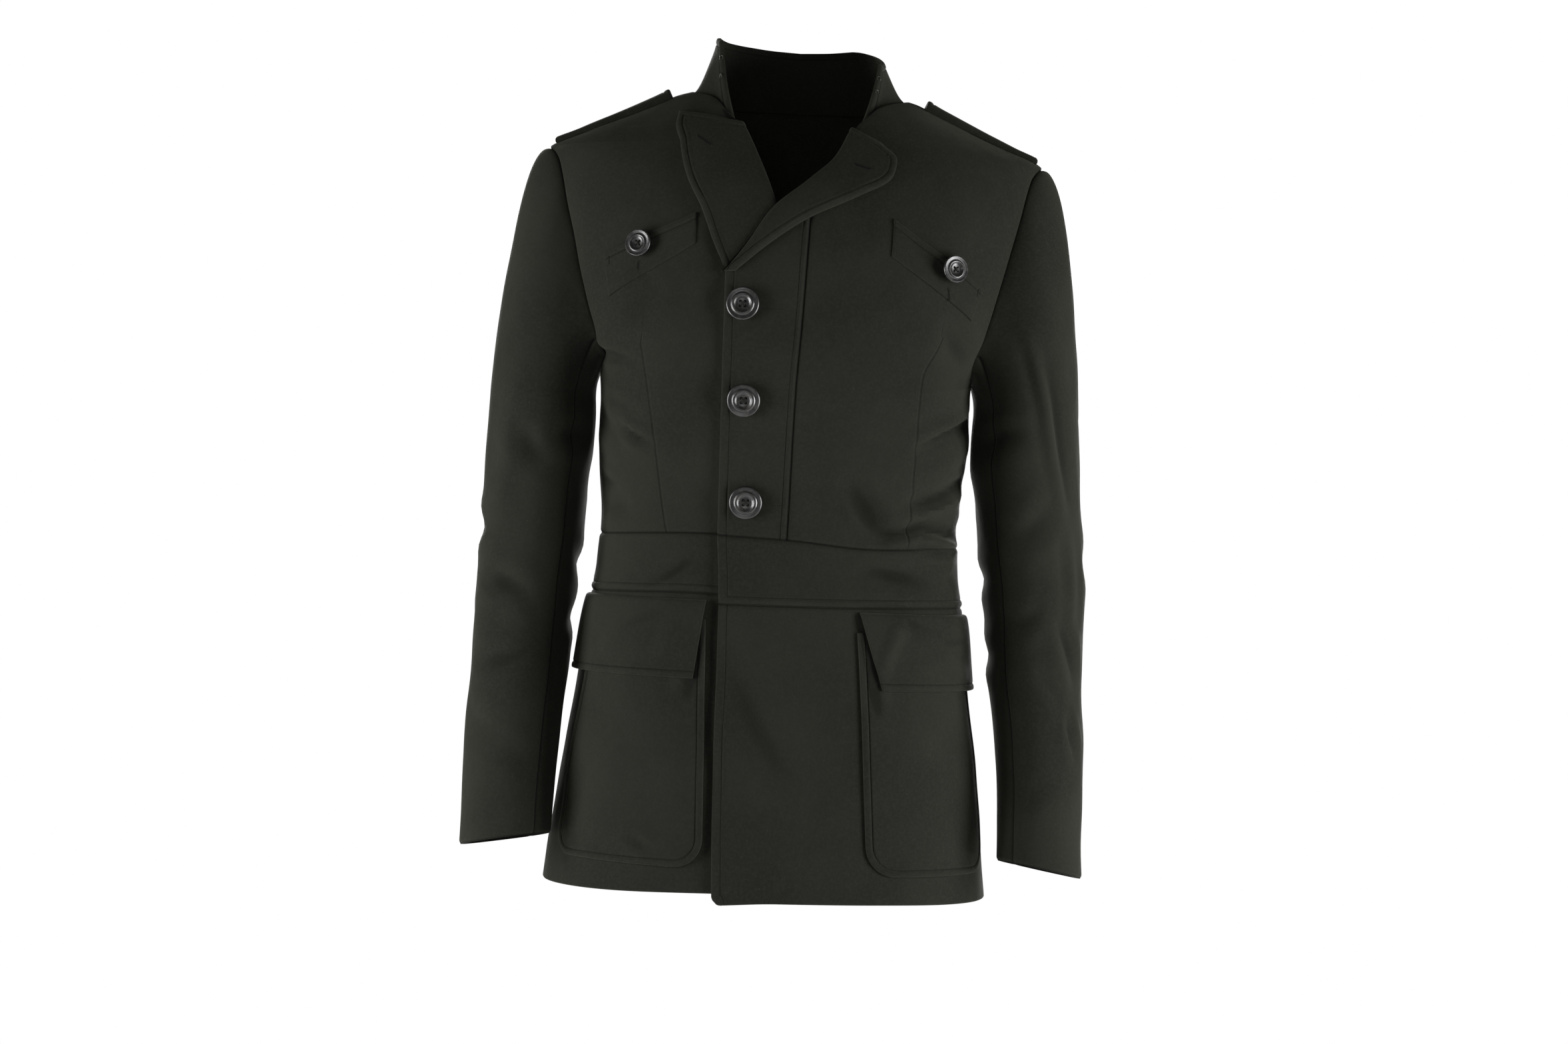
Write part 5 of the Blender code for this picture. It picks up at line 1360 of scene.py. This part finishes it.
def add_button_thread(button, seat, turned, hole_turns):
    """Thread crossing the middle of the button and running down through its holes."""
    lines = []
    for a, b in ((0, 2), (1, 3)):
        for aside in (-THREAD_ASIDE, THREAD_ASIDE):
            ends = []
            for turn in (hole_turns[a], hole_turns[b]):
                middle = np.array([cos(turn), sin(turn)]) * HOLE_RING
                ends.append(middle + aside * np.array([-sin(hole_turns[a]), cos(hole_turns[a])]))
            path = [(*(ends[0] * reach), height) for reach, height in THREAD_PATH]
            path += [(*(ends[1] * reach), height) for reach, height in THREAD_PATH[::-1]]
            lines.append(seat + np.array(path) * button.radius @ turned.T)
    add_wires(button.name + "_thread", lines, THREAD_RADIUS, thread)


# ---- thread, buttonholes and hooks ----


def add_wires(name, lines, radius, made_of, sides=6):
    """Round wires or threads along lines of points, as one object."""
    points, faces = [], []
    for line in lines:
        line = np.asarray(line, float)
        run = unit(np.gradient(line, axis=0))
        aside = unit(np.cross(run, np.where(np.abs(run[:, 2:]) < 0.9, [[0, 0, 1.0]], [[1.0, 0, 0]])))
        circle = ring_of(1.0, sides)[None, :, :, None]
        ring = aside[:, None] * circle[:, :, 0] + np.cross(run, aside)[:, None] * circle[:, :, 1]
        faces += tube_faces(len(line), sides, sum(len(p) for p in points))
        points.append((line[:, None] + radius * ring).reshape(-1, 3))
    add_mesh(name, np.concatenate(points), faces, made_of, sharp=60)


def add_bars(name, centres, runs, normals, size, made_of):
    """Small stitches: beads of eight faces, lying along their runs."""
    centres, runs, normals = (np.asarray(v, float) for v in (centres, runs, normals))
    asides = np.cross(normals, runs)
    length, width, height = size
    corners = np.array([(1, 0, 0), (0, 1, 0), (-1, 0, 0), (0, -1, 0), (0, 0, 1), (0, 0, -1)]) / 2
    places = corners * [length, width, height]
    frame_axes = np.stack([runs, asides, normals], 1)
    points = centres[:, None] + np.einsum("kc,ncd->nkd", places, frame_axes)
    faces = np.array([(0, 1, 4), (1, 2, 4), (2, 3, 4), (3, 0, 4), (1, 0, 5), (2, 1, 5), (3, 2, 5), (0, 3, 5)])
    all_faces = (faces[None] + 6 * np.arange(len(centres))[:, None, None]).reshape(-1, 3)
    add_mesh(name, points.reshape(-1, 3), all_faces, made_of, sharp=180)


def on_skin(node, point):
    """The nearest point of a node's outer face, with its normal."""
    location, normal, _face, _distance = skins[node].find_nearest(Vector(point))
    return np.array(location), np.array(normal)


def stitched(node, line, pitch=STITCH_PITCH, lift=0.05):
    """Centres, runs and normals of stitches along a line that is snapped to a node's face."""
    steps = np.concatenate([[0], np.cumsum(np.linalg.norm(np.diff(line, axis=0), axis=-1))])
    count = max(1, int(steps[-1] / pitch))
    at = (np.arange(count) + 0.5) * steps[-1] / count
    places = np.stack([np.interp(at, steps, line[:, k]) for k in range(3)], -1)
    done = []
    for k, point in enumerate(places):
        centre, normal = on_skin(node, point)
        run = places[min(k + 1, count - 1)] - places[max(k - 1, 0)] if count > 1 else line[-1] - line[0]
        run = unit(run - normal * (run @ normal))
        done.append((centre + normal * lift, run, normal))
    return done


def sew_edges():
    """Thread in the grooves beside the edges, one object for each node."""
    by_node = {}
    for node, line in stitch_paths:
        by_node.setdefault(node, []).extend(stitched(node, line))
    for node, stitches in by_node.items():
        add_bars(node + "_stitches", *zip(*stitches), STITCH_SIZE, thread)


def front_line(node, points):
    """A line on a node's face, through places with these x and z on the front."""
    seats = on_torso(at_x(points[:, 0], points[:, 1]), np.full(len(points), DEEP_WALL))
    return np.array([on_skin(node, seat)[0] for seat in seats])


def make_buttonholes():
    """A slit painted dark as shade, with thread whipped over its edges and a bar at each end."""
    for k, hole in enumerate(BUTTONHOLES):
        line = front_line(hole.node, np.linspace(hole.start, hole.end, 9))
        along = np.linspace(0, 1, 33)
        own = np.linspace(0, 1, 9)
        path = np.stack([np.interp(along, own, line[:, c]) for c in range(3)], -1)
        marks = stitched(hole.node, path, WHIP_PITCH, 0.1)
        centres, runs, normals = [], [], []
        for centre, run, normal in marks:
            aside = np.cross(normal, run)
            for way in (-1, 1):
                centres.append(centre + aside * way * WHIP_OUT)
                runs.append(unit(aside + WHIP_SLANT * run * way))
                normals.append(normal)
        for centre, run, normal in (marks[0], marks[-1]):
            for step in (-0.4, 0.4):
                centres.append(centre + run * step)
                runs.append(np.cross(normal, run) * 1.6)
                normals.append(normal * 1.3)
        name = hole.node + "_buttonhole_" + str(k)
        add_bars(name, centres, runs, normals, WHIP_SIZE, thread)
        # painted shade: a near-black strip just below the face stands for the shadow in the opening
        slit = [(centre - 0.02 * normal, run, normal) for centre, run, normal in marks]
        add_bars(name + "_slit", *zip(*slit), SLIT_SIZE, dark)


def make_bar_tacks():
    for k, tack in enumerate(BAR_TACKS):
        line = front_line(tack.node, np.linspace(tack.start, tack.end, 5))
        marks = stitched(tack.node, line, WHIP_PITCH, 0.15)
        crossed = [(centre, np.cross(normal, run), normal) for centre, run, normal in marks]
        add_bars(tack.node + "_tack_" + str(k), *zip(*crossed), TACK_SIZE, thread)


def make_collar_hooks():
    """Small bent wires for the hooks on the ends of the collar."""
    lines = []
    for x, y, z, side in COLLAR_HOOKS:
        seat, normal = on_skin("collar", (x, y, z))
        up = unit(np.array([0, 0, 1.0]) - normal * normal[2])
        aside = np.cross(up, normal)
        shape = HOOK_SCALE * (np.array(HOOK_BEND) * [side, 1])
        start = seat + normal * HOOK_LIFT
        lines.append([start + aside * (a - HOOK_MIDDLE * side) + up * b for a, b in shape])
    add_wires("collar_hooks", [smoothed(line) for line in lines], HOOK_RADIUS, steel, sides=8)


def smoothed(line, steps=6):
    own = np.arange(len(line))
    curves = [Curve(list(zip(own, [p[c] for p in line]))) for c in range(3)]
    at = np.linspace(0, len(line) - 1, (len(line) - 1) * steps + 1)
    return np.stack([curve(at) for curve in curves], -1)


# ---- materials ----


class Finish:
    """A node tree, with short ways to add shader nodes to it."""

    def __init__(self, tree):
        self.tree = tree
        self.shader = tree.nodes.get("Principled BSDF")

    def node(self, kind, inputs, output=0, **settings):
        """Adds a node, with values or links for its inputs, and gives one of its outputs."""
        made = self.tree.nodes.new("ShaderNode" + kind)
        for setting, value in settings.items():
            setattr(made, setting, value)
        self.feed(made, inputs)
        return made.outputs[output]

    def feed(self, made, inputs):
        for socket, value in inputs.items():
            if isinstance(value, bpy.types.NodeSocket):
                self.tree.links.new(value, made.inputs[socket])
            else:
                made.inputs[socket].default_value = value

    def math(self, operation, a, b=0.0):
        return self.node("Math", {0: a, 1: b}, operation=operation)

    def ramp(self, value, start, end, low=0.0, high=1.0):
        inputs = {"Value": value, "From Min": start, "From Max": end, "To Min": low, "To Max": high}
        return self.node("MapRange", inputs, interpolation_type="SMOOTHSTEP")

    def mixed(self, factor, a, b):
        return self.node("Mix", {0: factor, 6: a, 7: b}, output=2, data_type="RGBA")

    def noise(self, scale, detail=2.0, **inputs):
        """A noise in the object's own space."""
        where = self.node("TexCoord", {}, output=3)
        return self.node("TexNoise", {"Vector": where, "Scale": scale, "Detail": detail, **inputs})

    def attribute(self, name):
        return self.node("Attribute", {}, output=2, attribute_name=name)


def material(name):
    made = bpy.data.materials.new(name)
    made.use_nodes = True
    return made, Finish(made.node_tree)


def wool_material():
    """Close dark twill: uneven dye, nap and lint, creased darts and puckered stitching, with painted shade in
    crease troughs, seams, darts and stitched grooves and a painted highlight on crease ridges.
    """
    made, finish = material("wool")
    math, ramp = finish.math, finish.ramp
    along, up = finish.node("SeparateXYZ", {0: finish.node("UVMap", {}, uv_map="cloth")}).node.outputs[:2]
    diagonal = math("ADD", along, math("MULTIPLY", up, TWILL_SLOPE))
    twill = math("SINE", math("MULTIPLY", diagonal, 2 * pi / TWILL_PITCH))
    broad = finish.noise(*BROAD_NOISE)
    by_name = {"nap": finish.noise(*NAP_NOISE), "lint": finish.noise(*LINT_NOISE)}
    for name in ("stitch", "dart"):
        by_name[name] = math("ABSOLUTE", finish.attribute(name))
    for name in ("seam", "fold"):
        by_name[name] = finish.attribute(name)
    shade = finish.mixed(ramp(broad, 0.35, 0.65), WOOL_DARK, WOOL_LIGHT)
    # the fold, seam, dart and stitch tones are painted shade, and the ridge tone a painted highlight
    for tone in WOOL_TONES:
        share = ramp(by_name[tone.follows], tone.start, tone.end, tone.first, tone.last)
        shade = finish.mixed(share, shade, tone.colour)
    stitch = by_name["stitch"]
    height = math("MULTIPLY", finish.noise(*PUCKER_NOISE), ramp(stitch, 0.5, 5.0, PUCKER_HEIGHT, 0.0))
    in_dart = ramp(by_name["dart"], 0.2, 1.6, 1.0, 0.0)
    height = math("SUBTRACT", height, math("MULTIPLY", in_dart, DART_GROOVE))
    height = math("SUBTRACT", height, ramp(stitch, 0.0, 0.8, STITCH_GROOVE, 0.0))
    waves = finish.noise(*WAVE_NOISE)
    for value, amount in ((twill, TWILL_HEIGHT), (by_name["nap"], NAP_HEIGHT), (waves, WAVE_HEIGHT)):
        height = math("ADD", height, math("MULTIPLY", value, amount))
    finish.feed(finish.shader, {
        "Base Color": shade,
        "Normal": finish.node("Bump", {"Height": height, "Distance": 1.0, "Strength": 1.0}),
        "Roughness": ramp(broad, 0.3, 0.7, 0.80, 0.92),
        "Specular IOR Level": WOOL_SPECULAR,
        "Sheen Weight": SHEEN,
        "Sheen Roughness": 0.45,
        "Sheen Tint": SHEEN_TINT,
    })
    return made


def horn_material():
    """Polished dark horn with faint veins."""
    made, finish = material("horn")
    veins = finish.noise(160.0, 5.0, Distortion=1.5)
    grain = finish.math("MULTIPLY", finish.noise(900.0), 0.00003)
    finish.feed(finish.shader, {
        "Base Color": finish.mixed(finish.ramp(veins, 0.5, 0.75), HORN_DARK, HORN_VEIN),
        "Roughness": finish.ramp(veins, 0.3, 0.7, 0.30, 0.42),
        "Normal": finish.node("Bump", {"Height": grain, "Distance": 1.0}),
        "Coat Weight": 0.15,
        "Coat Roughness": 0.2,
    })
    return made


def plain_material(name, colour, roughness, metallic=0.0, vary=0.25):
    """A small part's finish, a little uneven."""
    made, finish = material(name)
    uneven = finish.noise(500.0)
    darker = (*[c * (1 - vary) for c in colour], 1)
    finish.feed(finish.shader, {
        "Base Color": finish.mixed(uneven, darker, (*colour, 1)),
        "Roughness": finish.ramp(uneven, 0.3, 0.7, roughness - 0.06, roughness + 0.06),
        "Metallic": metallic,
        "Specular IOR Level": 0.5 if metallic else 0.1,
    })
    return made


# ---- camera, light and floor ----


def add_camera():
    data = bpy.data.cameras.new("camera")
    data.lens, data.sensor_width = CAMERA_LENS, 36.0
    camera = link("camera", data)
    camera.location = CAMERA_AT
    camera.rotation_euler = (radians(90), radians(CAMERA_ROLL), 0)
    bpy.context.scene.camera = camera


def add_light(name, place_at, size, power):
    data = bpy.data.lights.new(name, "AREA")
    data.shape, data.size, data.size_y, data.energy = "RECTANGLE", size[0], size[1], power
    light = link(name, data)
    light.location = place_at
    light.rotation_euler = (Vector(LIGHTS_AIM) - Vector(place_at)).to_track_quat("-Z", "Y").to_euler()


def add_studio():
    """A white world that lights the coat dimly, soft lamps, and a pale floor below the main view."""
    world = bpy.data.worlds.new("studio")
    world.use_nodes = True
    finish = Finish(world.node_tree)
    seen = finish.node("LightPath", {}, output=0)
    strength = finish.ramp(seen, 0.0, 1.0, ROOM_LIGHT, BACKGROUND_LIGHT)
    finish.feed(world.node_tree.nodes["Background"], {"Color": (1, 1, 1, 1), "Strength": strength})
    bpy.context.scene.world = world
    bpy.context.scene.view_settings.view_transform = "Standard"
    for light in LIGHTS:
        add_light(*light)
    bpy.ops.mesh.primitive_plane_add(size=FLOOR_SIZE, location=(0, 0, FLOOR_Z))
    floor = bpy.context.active_object
    floor.name = "floor"
    made, finish = material("floor")
    pale = finish.mixed(finish.noise(3.0), FLOOR_DARK, FLOOR_LIGHT)
    finish.feed(finish.shader, {"Base Color": pale, "Roughness": 0.9})
    floor.data.materials.append(made)


wool = wool_material()
horn = horn_material()
thread = plain_material("thread", THREAD_COLOUR, 0.7)
# painted shade: the near-black finish of the buttonhole slits
dark = plain_material("slit", SLIT_SHADE_COLOUR, 0.9)
steel = plain_material("hook_wire", HOOK_COLOUR, 0.4, metallic=1.0)
for make in (
    make_front_left, make_overlap_left, make_front_right, make_back, make_bands_and_skirts, make_pockets,
    make_chest_flaps, make_lapels, make_straps, make_sleeves, make_collar, make_buttons, sew_edges,
    make_buttonholes, make_bar_tacks, make_collar_hooks, add_camera, add_studio,
):
    make()
